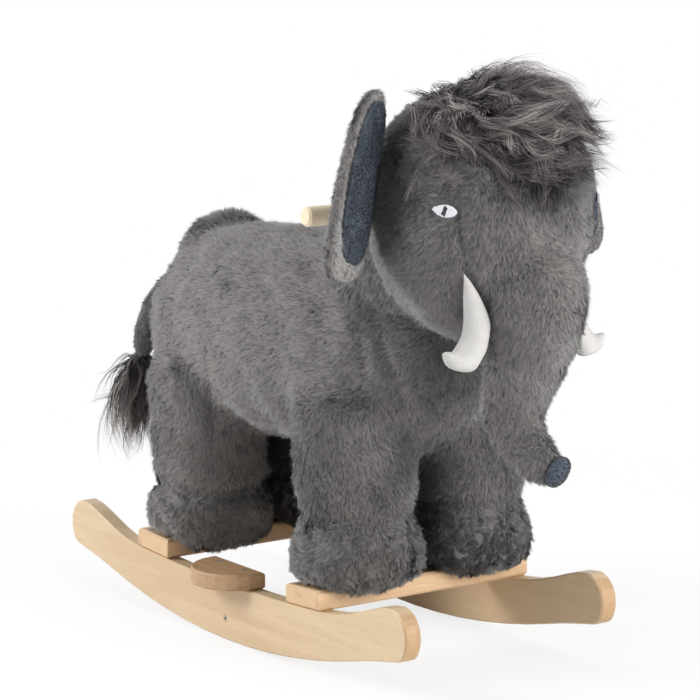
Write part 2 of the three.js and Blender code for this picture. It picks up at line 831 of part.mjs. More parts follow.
function earPlate(share, thickness, round, front) {
  const geometry = new THREE.ExtrudeGeometry(earOutline(share), {
    depth: thickness - 2 * round,
    bevelEnabled: round > 0,
    bevelThickness: round,
    bevelSize: round,
    bevelOffset: -round,
    bevelSegments: earRoundSteps,
    curveSegments: 2,
  });
  return geometry.translate(-earThickness / 2, 0, round - thickness / 2 - front);
}

// The right ear is shaped in place, and the left one is its mirror image
const earTurn = new THREE.Euler(quarterTurn, earLean, -earSplay, 'ZYX');
const earAnchor = placed(mirrored(earRoot, -1), earTurn);
const mirror = new THREE.Matrix4().makeScale(1, -1, 1);

function sided(geometry, side) {
  const solid = geometryOf(solidOf(geometry.applyMatrix4(earAnchor)));
  return side > 0 ? facingOut(solid.applyMatrix4(mirror)) : solid;
}

// The head as an ear meets it while it folds, so that the ear's root turns clear of it
function headFrom(side, fold) {
  const hinge = acrossWay.clone().applyEuler(earTurn);
  const turn = new THREE.Matrix4().makeRotationAxis(hinge, -fold);
  const place = placed(mirrored(earRoot, -1));
  const seen = headRoom.clone().applyMatrix4(place.clone().multiply(turn).multiply(place.clone().invert()));
  return side > 0 ? facingOut(seen.applyMatrix4(mirror)) : seen;
}

const folds = Array.from({ length: foldSteps + 1 }, (empty, step) => (
  THREE.MathUtils.lerp(earFoldBack, earFoldForward, step / foldSteps)
));

for (const [sideName, side] of Object.entries(sides)) {
  const pivot = placed(mirrored(earRoot, side));
  const front = earThickness / 2;
  const headRooms = [headRoom, ...folds.map((fold) => headFrom(side, fold))];
  const flap = sided(earPlate(1, earThickness, earRound, 0), side);
  const lining = sided(earPlate(liningShare, liningThickness, liningRound, front), side);
  const pocket = sided(earPlate(liningShare + pocketShare, liningThickness + 2 * seatGap, 0, front), side);
  piece(`ear_${sideName}`, cut(flap, [pocket, ...headRooms]), 'plush', pivot);
  piece(`ear_lining_${sideName}`, cut(lining, headRooms), 'velvet', pivot);
}

// Eyes lie on the side of the head, each an oval of stitches with an upright slit

function ovalOn(place, size, grow = 0) {
  const oval = new THREE.SphereGeometry(1, smallSides, smallSides / 2);
  const turn = new THREE.Euler(0, -eyeSlant, eyeTurn, 'ZYX');
  return geometryOf(solidOf(oval.scale(size.x / 2 + grow, size.y / 2 + grow, size.z / 2 + grow)
    .applyMatrix4(placed(place, turn))));
}

const eyeSize = new THREE.Vector3(eyeLength, eyeThickness * 2, eyeHeight);
const pupilSize = new THREE.Vector3(pupilWidth, eyeThickness * 2 + pupilProud, eyeHeight * pupilShare);

for (const [sideName, side] of Object.entries(sides)) {
  const flip = (geometry) => (side < 0 ? facingOut(geometry.applyMatrix4(mirror)) : geometry);
  const eye = flip(ovalOn(eyePlace, eyeSize));
  const pupil = flip(ovalOn(eyePlace, pupilSize));
  const pupilRoom = flip(ovalOn(eyePlace, pupilSize, seatGap));
  const anchor = placed(mirrored(eyePlace, side));
  piece(`eye_${sideName}`, cut(eye, [headRoom, pupilRoom]), 'ivory', anchor);
  piece(`pupil_${sideName}`, cut(pupil, [headRoom]), 'thread', anchor);
}

// Hair, backrest and tail

const hairSize = new THREE.Vector3(hairLength, hairWidth, hairHeight);
const hairForm = {
  ...lyingForm(hairCentre, hairSize, hairShares, hairEndShares, limbPower),
  sides: limbSides,
};
piece('hair', cut(softForm(hairForm), [headRoom]), 'hair');

const backrestForm = {
  points: backrestShares.map(([back, across, rise]) => new THREE.Vector3(
    backBoard.centre.x - backrestSetback + back * backrestSpan,
    across * backrestSpan,
    backrestHeight + rise * backrestRise,
  )),
  halves: backrestShares.map((row) => [row[3] * backrestThickness, row[3] * backrestThickness]),
  reference: forwardWay,
  rings: softRings,
  sides: smallSides,
  endShares: backrestEndShares,
  power: 1,
};
piece('backrest', cut(softForm(backrestForm), [bodyRoom, backBoardBlock(seatGap).geometry]), 'plush');

const tailRoot = new THREE.Vector3(bodyCentre.x - bodyLength / 2 + tailInset, -tailAside, tailHeight);
const tailReaches = new THREE.Vector3(tailReach, tailSweep, tailDrop);
const tailForm = rootedForm(
  tailRoot, tailReaches, tailShares, tailThickness, 1, tailEndShares, smallCounts,
);
piece('tail', cut(softForm(tailForm), [bodyRoom]), 'plush', placed(tailRoot));

const tuftRoot = tailForm.points[tailForm.points.length - 1];
const tuftForm = rootedForm(
  tuftRoot,
  new THREE.Vector3(tailReach, tailSweep, tuftDrop),
  tuftShares,
  tuftWidth,
  1,
  tailEndShares,
  smallCounts,
);
const tuft = cut(softForm(tuftForm), [softForm(tailForm, seatGap), bodyRoom]);
piece('tail_tuft', tuft, 'hair', placed(tailRoot));

// The origin is under the middle of the whole outline
const outline = new THREE.Box3().setFromObject(mammoth, true);
mammoth.position.x = -(outline.min.x + outline.max.x) / 2;

export default mammoth;
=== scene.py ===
"""A ride-on rocking mammoth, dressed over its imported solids.

The wooden base keeps its solids and gets its timber finish. Every stuffed form gets a smooth cover
and a combed pile over it, and the crown and the tail's tuft are grown strand by strand.
"""

from __future__ import annotations

import logging
import math
from dataclasses import dataclass, field, replace
from enum import Enum
from typing import Callable, Sequence

import bmesh
import bpy
import numpy as np
from mathutils import Matrix, Vector
from mathutils.bvhtree import BVHTree


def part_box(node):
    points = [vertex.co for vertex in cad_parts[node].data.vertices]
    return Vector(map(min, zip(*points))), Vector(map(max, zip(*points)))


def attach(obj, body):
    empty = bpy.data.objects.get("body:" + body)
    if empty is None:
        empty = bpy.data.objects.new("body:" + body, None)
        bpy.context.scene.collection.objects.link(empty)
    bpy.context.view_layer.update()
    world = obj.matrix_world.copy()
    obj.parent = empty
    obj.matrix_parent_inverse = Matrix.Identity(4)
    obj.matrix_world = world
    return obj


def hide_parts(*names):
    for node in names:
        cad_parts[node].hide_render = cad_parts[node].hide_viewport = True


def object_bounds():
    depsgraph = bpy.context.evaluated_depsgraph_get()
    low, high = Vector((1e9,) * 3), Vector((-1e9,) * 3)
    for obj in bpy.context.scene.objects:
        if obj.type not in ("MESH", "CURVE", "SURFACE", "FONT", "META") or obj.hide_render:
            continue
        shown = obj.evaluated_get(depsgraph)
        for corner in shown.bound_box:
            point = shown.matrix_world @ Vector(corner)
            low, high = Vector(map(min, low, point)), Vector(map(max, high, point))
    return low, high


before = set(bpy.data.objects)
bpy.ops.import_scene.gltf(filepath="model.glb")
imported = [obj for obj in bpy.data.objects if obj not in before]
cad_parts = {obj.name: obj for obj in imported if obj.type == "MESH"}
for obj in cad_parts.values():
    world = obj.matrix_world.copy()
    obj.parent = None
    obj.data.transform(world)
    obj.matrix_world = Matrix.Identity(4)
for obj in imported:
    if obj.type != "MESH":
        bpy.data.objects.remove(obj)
CAD_BOX = [list(corner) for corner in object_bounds()]

log = logging.getLogger("mammoth")

Array = np.ndarray
BMesh = bmesh.types.BMesh
BMVert = bmesh.types.BMVert
Material = bpy.types.Material
Mesh = bpy.types.Mesh
Node = bpy.types.Node
Colour = tuple[float, float, float]
Place = tuple[float, float, float]
Socket = str | int
Comb = Callable[[Array, Array], Array]


class Body(Enum):
    """The rigid bodies that pieces ride on."""

    TOY = "toy"
    EAR_RIGHT = "ear_flap_right"
    EAR_LEFT = "ear_flap_left"
    TAIL = "tail_body"


class Grain(Enum):
    """The way a board's fibres run, as stretches of the pattern along X, Y and Z."""

    ALONG = (0.05, 1.0, 1.0)
    ACROSS = (1.0, 0.05, 1.0)
    UPRIGHT = (1.0, 1.0, 0.05)


SIDES = ("right", "left")
ENDS = ("front", "rear")
OUTWARD = {"right": -1.0, "left": 1.0}
SWEEP = np.array([0.58, 0.81, 0.0])
WAVES = 7
WAVE_SPAN = 0.314  # how many metres a wave texture at scale 1 takes for one band
LOCK_PRIMES = np.array([73856093, 19349663, 83492791])


def middle_x() -> float:
    """Where the rockers' middle lies along X, which the other places are counted from."""
    low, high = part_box("rocker_right")
    return (low.x + high.x) / 2


def middle_of(node: str) -> Vector:
    """The middle of a node's box."""
    low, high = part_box(node)
    return (low + high) / 2


def half_of(node: str) -> Vector:
    """Half of a node's size along each axis."""
    low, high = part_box(node)
    return (high - low) / 2


def at_corners(kind: str) -> tuple[str, ...]:
    """The names of the four nodes of a kind, at both ends of both sides."""
    return tuple(f"{kind}_{end}_{side}" for end in ENDS for side in SIDES)


def unit(vectors: Array) -> Array:
    """The vectors at length one."""
    return vectors / np.maximum(np.linalg.norm(vectors, axis=-1, keepdims=True), 1e-9)


def ripple(points: Array, scale: float, seed: int) -> Array:
    """Smooth vector noise from a few plane waves of random heading.

    Args:
        points: Places to read the noise at, one row each, in metres.
        scale: About how far apart the swells are, in metres.
        seed: Which noise it is.

    Returns:
        One vector for each place, mostly within a length of one.
    """
    rng = np.random.default_rng(seed)
    heading = unit(rng.normal(size=(WAVES, 3))) * (2 * math.pi / scale * rng.uniform(0.6, 1.6, (WAVES, 1)))
    phase = rng.uniform(0, 2 * math.pi, (WAVES, 3))
    angle = points @ heading.T
    return np.stack([np.sin(angle + phase[:, axis]).sum(1) for axis in range(3)], 1) / math.sqrt(2 * WAVES)


# Finishes


class Nodes:
    """A node tree, with short ways to add and join nodes."""

    def __init__(self, tree: bpy.types.NodeTree) -> None:
        """Empties the tree."""
        self.tree = tree
        tree.nodes.clear()

    def add(self, kind: str, inputs: dict[Socket, object] | None = None, **settings: object) -> Node:
        """Adds a node.

        Args:
            kind: The node's type name.
            inputs: Values for its input sockets.
            settings: Values for its own properties.

        Returns:
            The new node.
        """
        node = self.tree.nodes.new(kind)
        for name, value in settings.items():
            setattr(node, name, value)
        for socket, value in (inputs or {}).items():
            node.inputs[socket].default_value = value
        return node

    def join(self, source: Node, out: Socket, target: Node, into: Socket) -> None:
        """Joins one node's output to another's input."""
        self.tree.links.new(source.outputs[out], target.inputs[into])

    def after(
        self, source: Node, out: Socket, kind: str, into: Socket = 0,
        inputs: dict[Socket, object] | None = None, **settings: object,
    ) -> Node:
        """Adds a node that another one feeds.

        Args:
            source: The node before it.
            out: That node's output.
            kind: The new node's type name.
            into: The input that it is fed at.
            inputs: Values for its other inputs.
            settings: Values for its own properties.

        Returns:
            The new node.
        """
        node = self.add(kind, inputs, **settings)
        self.join(source, out, node, into)
        return node


class NodeSheet(Nodes):
    """A material's node tree, whose principled shader is joined to its output."""

    def __init__(self, name: str) -> None:
        """Starts the material."""
        self.material = bpy.data.materials.new(name)
        self.material.use_nodes = True
        super().__init__(self.material.node_tree)
        self.output = self.add("ShaderNodeOutputMaterial")
        self.shader = self.add("ShaderNodeBsdfPrincipled")
        self.join(self.shader, "BSDF", self.output, "Surface")

    def set(self, **values: object) -> None:
        """Sets plain values on the shader's own sockets, named with underscores for spaces."""
        for name, value in values.items():
            self.shader.inputs[name.replace("_", " ")].default_value = value

    def places(self, stretch: Sequence[float] = (1.0, 1.0, 1.0)) -> Node:
        """Object coordinates through a mapping that stretches them."""
        source = self.add("ShaderNodeTexCoord")
        return self.after(source, "Object", "ShaderNodeMapping", "Vector", {"Scale": tuple(stretch)})

    def noise(self, mapping: Node, scale: float, detail: float = 3.0, twist: float = 0.0) -> Node:
        """A noise texture read at the mapping's places."""
        values = {"Scale": scale, "Detail": detail, "Distortion": twist}
        return self.after(mapping, "Vector", "ShaderNodeTexNoise", "Vector", values)

    def ramp(self, source: Node, out: str, stops: Sequence[tuple[float, Sequence[float]]]) -> Node:
        """A colour ramp over another node's output.

        Args:
            source: The node that gives the factor.
            out: The name of its output.
            stops: Each stop's place and colour.

        Returns:
            The ramp node.
        """
        node = self.after(source, out, "ShaderNodeValToRGB", "Fac")
        elements = node.color_ramp.elements
        while len(elements) < len(stops):
            elements.new(0.5)
        for element, (place, colour) in zip(elements, stops):
            element.position = place
            element.color = (*colour, 1.0)
        return node

    def blend(self, first: Node, second: Node, factor: float, mode: str) -> Node:
        """Mixes the colours of two ramps or mixes at a fixed factor."""
        node = self.add("ShaderNodeMix", {0: factor}, data_type="RGBA", blend_type=mode)
        for into, source in ((6, first), (7, second)):
            self.join(source, self.colour_out(source), node, into)
        return node

    @staticmethod
    def colour_out(source: Node) -> int:
        """The number of a ramp's or a mix's colour output."""
        return 2 if source.bl_idname == "ShaderNodeMix" else 0

    def colour(self, source: Node) -> None:
        """Sends a ramp's or a mix's colour to the shader."""
        self.join(source, self.colour_out(source), self.shader, "Base Color")

    def bump(self, source: Node, out: str, height: float, strength: float) -> None:
        """Raises the surface by another node's value, up to a height in metres."""
        node = self.after(source, out, "ShaderNodeBump", "Height", {"Distance": height, "Strength": strength})
        self.join(node, "Normal", self.shader, "Normal")


@dataclass(frozen=True)
class Timber:
    """Clear-lacquered hardwood with soft growth bands, fine fibres and short flecks."""

    name: str
    pale: Colour
    deep: Colour
    grain: Grain
    roughness: float = 0.46
    end: float | None = None
    end_blend: tuple[float, float] = (0.03, 0.01)
    band_scale: float = 38.0
    fibre_scale: float = 620.0
    fleck_scale: float = 900.0
    fleck_stretch: float = 1.6
    fibre_height: float = 0.0002

    def material(self) -> Material:
        """The finish as a material."""
        sheet = NodeSheet(self.name)
        board = sheet.places(self.grain.value)
        bands = sheet.noise(board, self.band_scale, 2.0, 0.6)
        stops = [(0.34, self.deep), (0.5, self.pale), (0.7, self.middling(0.45))]
        band_colour = sheet.ramp(bands, "Fac", stops)
        fibres = sheet.noise(board, self.fibre_scale, 3.0)
        fibre_colour = sheet.ramp(fibres, "Fac", [(0.3, (0.8, 0.77, 0.73)), (0.62, (1.0, 1.0, 1.0))])
        narrow = sheet.places([share * self.fleck_stretch for share in self.grain.value])
        values = {"Scale": self.fleck_scale, "Randomness": 1.0}
        flecks = sheet.after(narrow, "Vector", "ShaderNodeTexVoronoi", "Vector", values)
        fleck_colour = sheet.ramp(flecks, "Distance", [(0.05, (0.62, 0.52, 0.42)), (0.2, (1.0, 1.0, 1.0))])
        mixed = sheet.blend(band_colour, fibre_colour, 0.4, "MULTIPLY")
        flecked = sheet.blend(mixed, fleck_colour, 0.3, "MULTIPLY")
        sheet.colour(flecked if self.end is None else self.with_ends(sheet, flecked))
        sheet.set(Roughness=self.roughness, Coat_Weight=0.12, Coat_Roughness=0.3)
        sheet.bump(fibres, "Fac", self.fibre_height, 0.35)
        return sheet.material

    def with_ends(self, sheet: NodeSheet, wood: Node) -> Node:
        """Darkens the end grain at both tips of a long board.

        Args:
            sheet: The material's nodes.
            wood: The colour of the rest of the board.

        Returns:
            The node that gives the whole colour.
        """
        place = sheet.after(sheet.places(), "Vector", "ShaderNodeSeparateXYZ")
        centred = sheet.after(place, "X", "ShaderNodeMath", 0, {1: middle_x()}, operation="SUBTRACT")
        away = sheet.after(centred, 0, "ShaderNodeMath", operation="ABSOLUTE")
        start, full = (self.end - before for before in self.end_blend)
        reach = sheet.after(away, 0, "ShaderNodeMapRange", "Value", {"From Min": start, "From Max": full})
        facing = sheet.after(sheet.add("ShaderNodeTexCoord"), "Normal", "ShaderNodeSeparateXYZ")
        across = sheet.after(facing, "X", "ShaderNodeMath", operation="ABSOLUTE")
        cut = sheet.after(across, 0, "ShaderNodeMapRange", "Value", {"From Min": 0.35, "From Max": 0.7})
        both = sheet.after(reach, "Result", "ShaderNodeMath", operation="MULTIPLY")
        sheet.join(cut, "Result", both, 1)
        shade = sheet.ramp(both, 0, [(0.0, (1.0, 1.0, 1.0)), (1.0, (0.74, 0.62, 0.52))])
        return sheet.blend(wood, shade, 1.0, "MULTIPLY")

    def middling(self, share: float) -> Colour:
        """A colour between the pale and the deep one."""
        return tuple(p * (1 - share) + d * share for p, d in zip(self.pale, self.deep))


@dataclass(frozen=True)
class Strands:
    """Fibres of pile or hair that run from a dark root to a paler tip, kept in each strand's tone."""

    name: str
    root: Colour
    body: Colour
    tip: Colour
    roughness: float = 0.85
    sheen: float = 0.25
    patch_scale: float = 22.0

    def material(self) -> Material:
        """The finish as a material."""
        sheet = NodeSheet(self.name)
        tone = sheet.add("ShaderNodeAttribute", attribute_name="tone")
        shade = sheet.ramp(tone, "Fac", [(0.0, self.root), (0.5, self.body), (1.0, self.tip)])
        patches = sheet.noise(sheet.places(), self.patch_scale, 2.0)
        patch_shade = sheet.ramp(patches, "Fac", [(0.3, (0.84, 0.83, 0.83)), (0.7, (1.0, 1.0, 1.0))])
        sheet.colour(sheet.blend(shade, patch_shade, 0.8, "MULTIPLY"))
        sheet.set(Roughness=self.roughness, Specular_IOR_Level=0.25)
        sheet.set(Sheen_Weight=self.sheen, Sheen_Roughness=0.5)
        return sheet.material


@dataclass(frozen=True)
class Cloth:
    """A soft woven or brushed cloth with mottling and a fine nap."""

    name: str
    pale: Colour
    deep: Colour
    nap: float
    sheen: float = 0.3
    patch_scale: float = 45.0
    thread_scale: float = 900.0

    def material(self) -> Material:
        """The finish as a material."""
        sheet = NodeSheet(self.name)
        place = sheet.places()
        patches = sheet.noise(place, self.patch_scale, 4.0, 0.4)
        base = sheet.ramp(patches, "Fac", [(0.32, self.deep), (0.68, self.pale)])
        threads = sheet.noise(place, self.thread_scale, 2.0)
        thread_shade = sheet.ramp(threads, "Fac", [(0.3, (0.8, 0.8, 0.8)), (0.65, (1.0, 1.0, 1.0))])
        sheet.colour(sheet.blend(base, thread_shade, 0.6, "MULTIPLY"))
        sheet.set(Roughness=0.95, Sheen_Weight=self.sheen, Sheen_Roughness=0.4, Specular_IOR_Level=0.2)
        sheet.bump(threads, "Fac", self.nap, 0.6)
        return sheet.material


@dataclass(frozen=True)
class Stitching:
    """Satin stitches that lie side by side, as in an embroidered eye."""

    name: str
    colour: Colour
    shadow: Colour
    pitch: float
    rim: Colour | None = None
    thread_height: float = 0.0002

    def material(self) -> Material:
        """The finish as a material."""
        sheet = NodeSheet(self.name)
        values = {"Scale": WAVE_SPAN / self.pitch, "Distortion": 0.5, "Detail": 1.0}
        place = sheet.places()
        waves = sheet.after(place, "Vector", "ShaderNodeTexWave", "Vector", values, bands_direction="Z")
        threads = sheet.ramp(waves, "Fac", [(0.1, self.shadow), (0.6, self.colour)])
        if self.rim is None:
            sheet.colour(threads)
        else:
            edge = sheet.add("ShaderNodeAttribute", attribute_name="edge")
            border = sheet.ramp(edge, "Fac", [(0.82, (1.0, 1.0, 1.0)), (0.92, self.rim)])
            sheet.colour(sheet.blend(threads, border, 1.0, "MULTIPLY"))
        sheet.set(Roughness=0.5, Sheen_Weight=0.3, Specular_IOR_Level=0.4)
        sheet.bump(waves, "Fac", self.thread_height, 0.7)
        return sheet.material


@dataclass(frozen=True)
class Steel:
    """Dull zinc-plated steel with faint tool marks."""

    name: str
    colour: Colour
    mark_scale: float = 1400.0
    mark_height: float = 0.00008

    def material(self) -> Material:
        """The finish as a material."""
        sheet = NodeSheet(self.name)
        marks = sheet.noise(sheet.places(), self.mark_scale, 3.0)
        worn = tuple(share * 0.7 for share in self.colour)
        sheet.colour(sheet.ramp(marks, "Fac", [(0.35, worn), (0.6, self.colour)]))
        sheet.set(Metallic=0.7, Roughness=0.5)
        sheet.bump(marks, "Fac", self.mark_height, 0.5)
        return sheet.material


# Meshes


def finished(name: str, mesh: Mesh, material: Material, body: Body) -> bpy.types.Object:
    """Makes a piece of a mesh that is already in place.

    Args:
        name: The piece's name.
        mesh: Its mesh, in the frame's own coordinates.
        material: Its finish.
        body: The body that it rides on.

    Returns:
        The piece.
    """
    mesh.name = name
    mesh.materials.clear()
    mesh.materials.append(material)
    piece = bpy.data.objects.new(name, mesh)
    bpy.context.scene.collection.objects.link(piece)
    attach(piece, body.value)
    log.info("%s: %d faces on %s", name, len(mesh.polygons), body.value)
    return piece


def merged(node: str) -> BMesh:
    """A copy of a node's mesh with its loose triangles merged."""
    copy = bmesh.new()
    copy.from_mesh(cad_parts[node].data)
    bmesh.ops.remove_doubles(copy, verts=copy.verts, dist=1e-5)
    return copy


def mesh_of(source: BMesh) -> Mesh:
    """Turns a bmesh into a smooth-shaded mesh and frees it."""
    mesh = bpy.data.meshes.new("mesh")
    source.to_mesh(mesh)
    source.free()
    mesh.shade_smooth()
    return mesh


def remeshed(source: BMesh, voxel: float) -> BMesh:
    """Rebuilds a closed form, or several that meet, as one even skin, and keeps its largest shell."""
    helper = bpy.data.objects.new("helper", mesh_of(source))
    bpy.context.scene.collection.objects.link(helper)
    modifier = helper.modifiers.new("remesh", "REMESH")
    modifier.mode = "VOXEL"
    modifier.voxel_size = voxel
    shaped = helper.evaluated_get(bpy.context.evaluated_depsgraph_get())
    skin = bmesh.new()
    skin.from_mesh(bpy.data.meshes.new_from_object(shaped))
    bpy.data.objects.remove(helper)
    keep_largest(skin)
    return skin


def keep_largest(skin: BMesh) -> None:
    """Deletes all but the shell with the most corners."""
    seen: set[BMVert] = set()
    shells: list[list[BMVert]] = []
    for start in skin.verts:
        if start in seen:
            continue
        shell, waiting = [], [start]
        seen.add(start)
        while waiting:
            vert = waiting.pop()
            shell.append(vert)
            for edge in vert.link_edges:
                other = edge.other_vert(vert)
                if other not in seen:
                    seen.add(other)
                    waiting.append(other)
        shells.append(shell)
    shells.sort(key=len)
    for shell in shells[:-1]:
        bmesh.ops.delete(skin, geom=shell, context="VERTS")


def soothed(skin: BMesh, rounds: int, verts: Sequence[BMVert] | None = None) -> None:
    """Smooths a skin's corners for a number of rounds."""
    chosen = list(skin.verts) if verts is None else list(verts)
    for _ in range(rounds):
        bmesh.ops.smooth_vert(
            skin, verts=chosen, factor=0.5, use_axis_x=True, use_axis_y=True, use_axis_z=True,
        )


LUMP_SCALE = 0.085
SMALL_LUMP_SCALE = 0.03
SMALL_LUMP_SHARE = 0.35


def drawn_in(skin: BMesh, depth: float, lumps: float, seed: int) -> None:
    """Draws a skin in to make room for its pile, and gives it the soft lumps of stuffing.

    Args:
        skin: The skin to move.
        depth: How far it is drawn in, in metres.
        lumps: How high the largest lumps are, in metres.
        seed: Which lumps it has.
    """
    skin.normal_update()
    places = np.array([vert.co for vert in skin.verts])
    swell = ripple(places, LUMP_SCALE, seed)[:, 0] * lumps
    swell = swell + ripple(places, SMALL_LUMP_SCALE, seed + 1)[:, 0] * lumps * SMALL_LUMP_SHARE
    for vert, rise in zip(skin.verts, swell):
        vert.co += vert.normal * (float(rise) - depth)
    skin.normal_update()


def blade(rows: int) -> tuple[Array, Array]:
    """One flat blade: an edge extruded row by row, with its last edge merged to a point.

    Args:
        rows: How many rows of corners it has, the point included.

    Returns:
        Each corner's side, from -1 to 1, with its row, and the corners of each triangle.
    """
    shape = bmesh.new()
    edge = shape.edges.new((shape.verts.new((-1, 0, 0)), shape.verts.new((1, 0, 0))))
    for _ in range(1, rows):
        made = bmesh.ops.extrude_edge_only(shape, edges=[edge])["geom"]
        fresh = [item for item in made if isinstance(item, BMVert)]
        bmesh.ops.translate(shape, verts=fresh, vec=(0, 1, 0))
        edge = next(e for e in shape.edges if set(e.verts) == set(fresh))
    bmesh.ops.pointmerge(shape, verts=list(edge.verts), merge_co=(0, rows - 1, 0))
    bmesh.ops.triangulate(shape, faces=shape.faces)
    shape.normal_update()
    bmesh.ops.reverse_faces(shape, faces=[face for face in shape.faces if face.normal.z < 0])
    shape.verts.index_update()
    corners = np.array([vert.co for vert in shape.verts])
    faces = np.array([[vert.index for vert in face.verts] for face in shape.faces])
    shape.free()
    return corners, faces


BLADE_TAPER = 1.6
ROOT_TONE = 0.12
TONE_RISE = 0.72


def strand_mesh(paths: Array, across: Array, width: Array, normals: Array, tone: Array) -> Mesh:
    """Repeats the blade along many paths, as one mesh.

    Args:
        paths: The places that each strand runs through, from root to tip.
        across: Each strand's way across its width.
        width: Each strand's half width at its root, in metres.
        normals: The way each strand's surface is lit from.
        tone: Each strand's own tone, added to the rise from root to tip.

    Returns:
        The mesh, with the tone at each corner.
    """
    count, rows = paths.shape[:2]
    corners, faces = blade(rows)
    row = corners[:, 1].astype(int)
    taper = (1 - (np.arange(rows) / (rows - 1)) ** BLADE_TAPER)[row]
    offset = across[:, None, :] * (corners[:, 0] * taper)[None, :, None] * width[:, None, None]
    places = (paths[:, row, :] + offset).reshape(-1, 3)
    triangles = (faces[None] + (np.arange(count) * len(corners))[:, None, None]).reshape(-1)
    mesh = bpy.data.meshes.new("strands")
    mesh.vertices.add(len(places))
    mesh.vertices.foreach_set("co", places.astype(np.float32).reshape(-1))
    mesh.loops.add(len(triangles))
    mesh.loops.foreach_set("vertex_index", triangles.astype(np.int32))
    mesh.polygons.add(len(triangles) // 3)
    mesh.polygons.foreach_set("loop_start", np.arange(0, len(triangles), 3, dtype=np.int32))
    mesh.update(calc_edges=True)
    mesh.shade_smooth()
    rise = (row / (rows - 1))[None, :] * TONE_RISE + ROOT_TONE
    tones = np.clip(rise + tone[:, None], 0, 1).astype(np.float32)
    mesh.attributes.new("tone", "FLOAT", "POINT").data.foreach_set("value", tones.reshape(-1))
    mesh.normals_split_custom_set_from_vertices(np.repeat(unit(normals), len(corners), axis=0))
    return mesh


@dataclass
class Ground:
    """Points on a surface with normals, painted crease shade that also shortens the pile, and painted shade
    or light.
    """

    points: Array
    normals: Array
    depth: Array
    shade: Array

    def kept(self, wanted: Array) -> Ground:
        """The points that a mask or a list of numbers keeps."""
        return Ground(self.points[wanted], self.normals[wanted], self.depth[wanted], self.shade[wanted])


def scattered(mesh: Mesh, density: float, seed: int, faces: Array | None = None) -> Ground:
    """Scatters points evenly over a mesh.

    Args:
        mesh: The surface.
        density: Points on a square metre.
        seed: Which scatter it is.
        faces: A mask of the faces that take part, or None for all.

    Returns:
        The points and their normals, in no crease and no shade.
    """
    mesh.calc_loop_triangles()
    count = len(mesh.loop_triangles)
    corners = np.empty(count * 3, np.int32)
    mesh.loop_triangles.foreach_get("vertices", corners)
    corners = corners.reshape(-1, 3)
    places = np.empty(len(mesh.vertices) * 3, np.float32)
    mesh.vertices.foreach_get("co", places)
    places = places.reshape(-1, 3).astype(float)
    normals = np.array([item.vector for item in mesh.vertex_normals])
    first, second, third = (places[corners[:, at]] for at in range(3))
    area = np.linalg.norm(np.cross(second - first, third - first), axis=1) / 2
    if faces is not None:
        owner = np.empty(count, np.int32)
        mesh.loop_triangles.foreach_get("polygon_index", owner)
        area = np.where(faces[owner], area, 0)
    rng = np.random.default_rng(seed)
    total = np.cumsum(area)
    chosen = np.searchsorted(total, rng.uniform(0, total[-1], int(total[-1] * density)))
    chosen = np.minimum(chosen, count - 1)
    one, two = rng.uniform(size=(2, len(chosen), 1))
    flip = one + two > 1
    one, two = np.where(flip, 1 - one, one), np.where(flip, 1 - two, two)
    corner = corners[chosen]
    weights = (1 - one - two, one, two)
    point, normal = (
        sum(values[corner[:, at]] * weight for at, weight in enumerate(weights))
        for values in (places, normals)
    )
    return Ground(point, unit(normal), np.zeros(len(point)), np.zeros(len(point)))


def locks(points: Array, size: float, seed: int) -> Array:
    """Gathers points into small locks with uneven edges.

    Args:
        points: The roots to gather.
        size: About how wide a lock is, in metres.
        seed: Which gathering it is.

    Returns:
        The number of each root's lock.
    """
    cells = np.floor((points + ripple(points, size * 3, seed) * size * 0.7) / size).astype(np.int64)
    return np.unique(cells @ LOCK_PRIMES, return_inverse=True)[1].reshape(-1)


def lock_mean(values: Array, lock: Array) -> Array:
    """The mean of each root's values over its lock, one row for each root."""
    size = np.bincount(lock)
    sums = np.stack([np.bincount(lock, values[:, axis]) for axis in range(values.shape[1])], 1)
    return (sums / size[:, None])[lock]


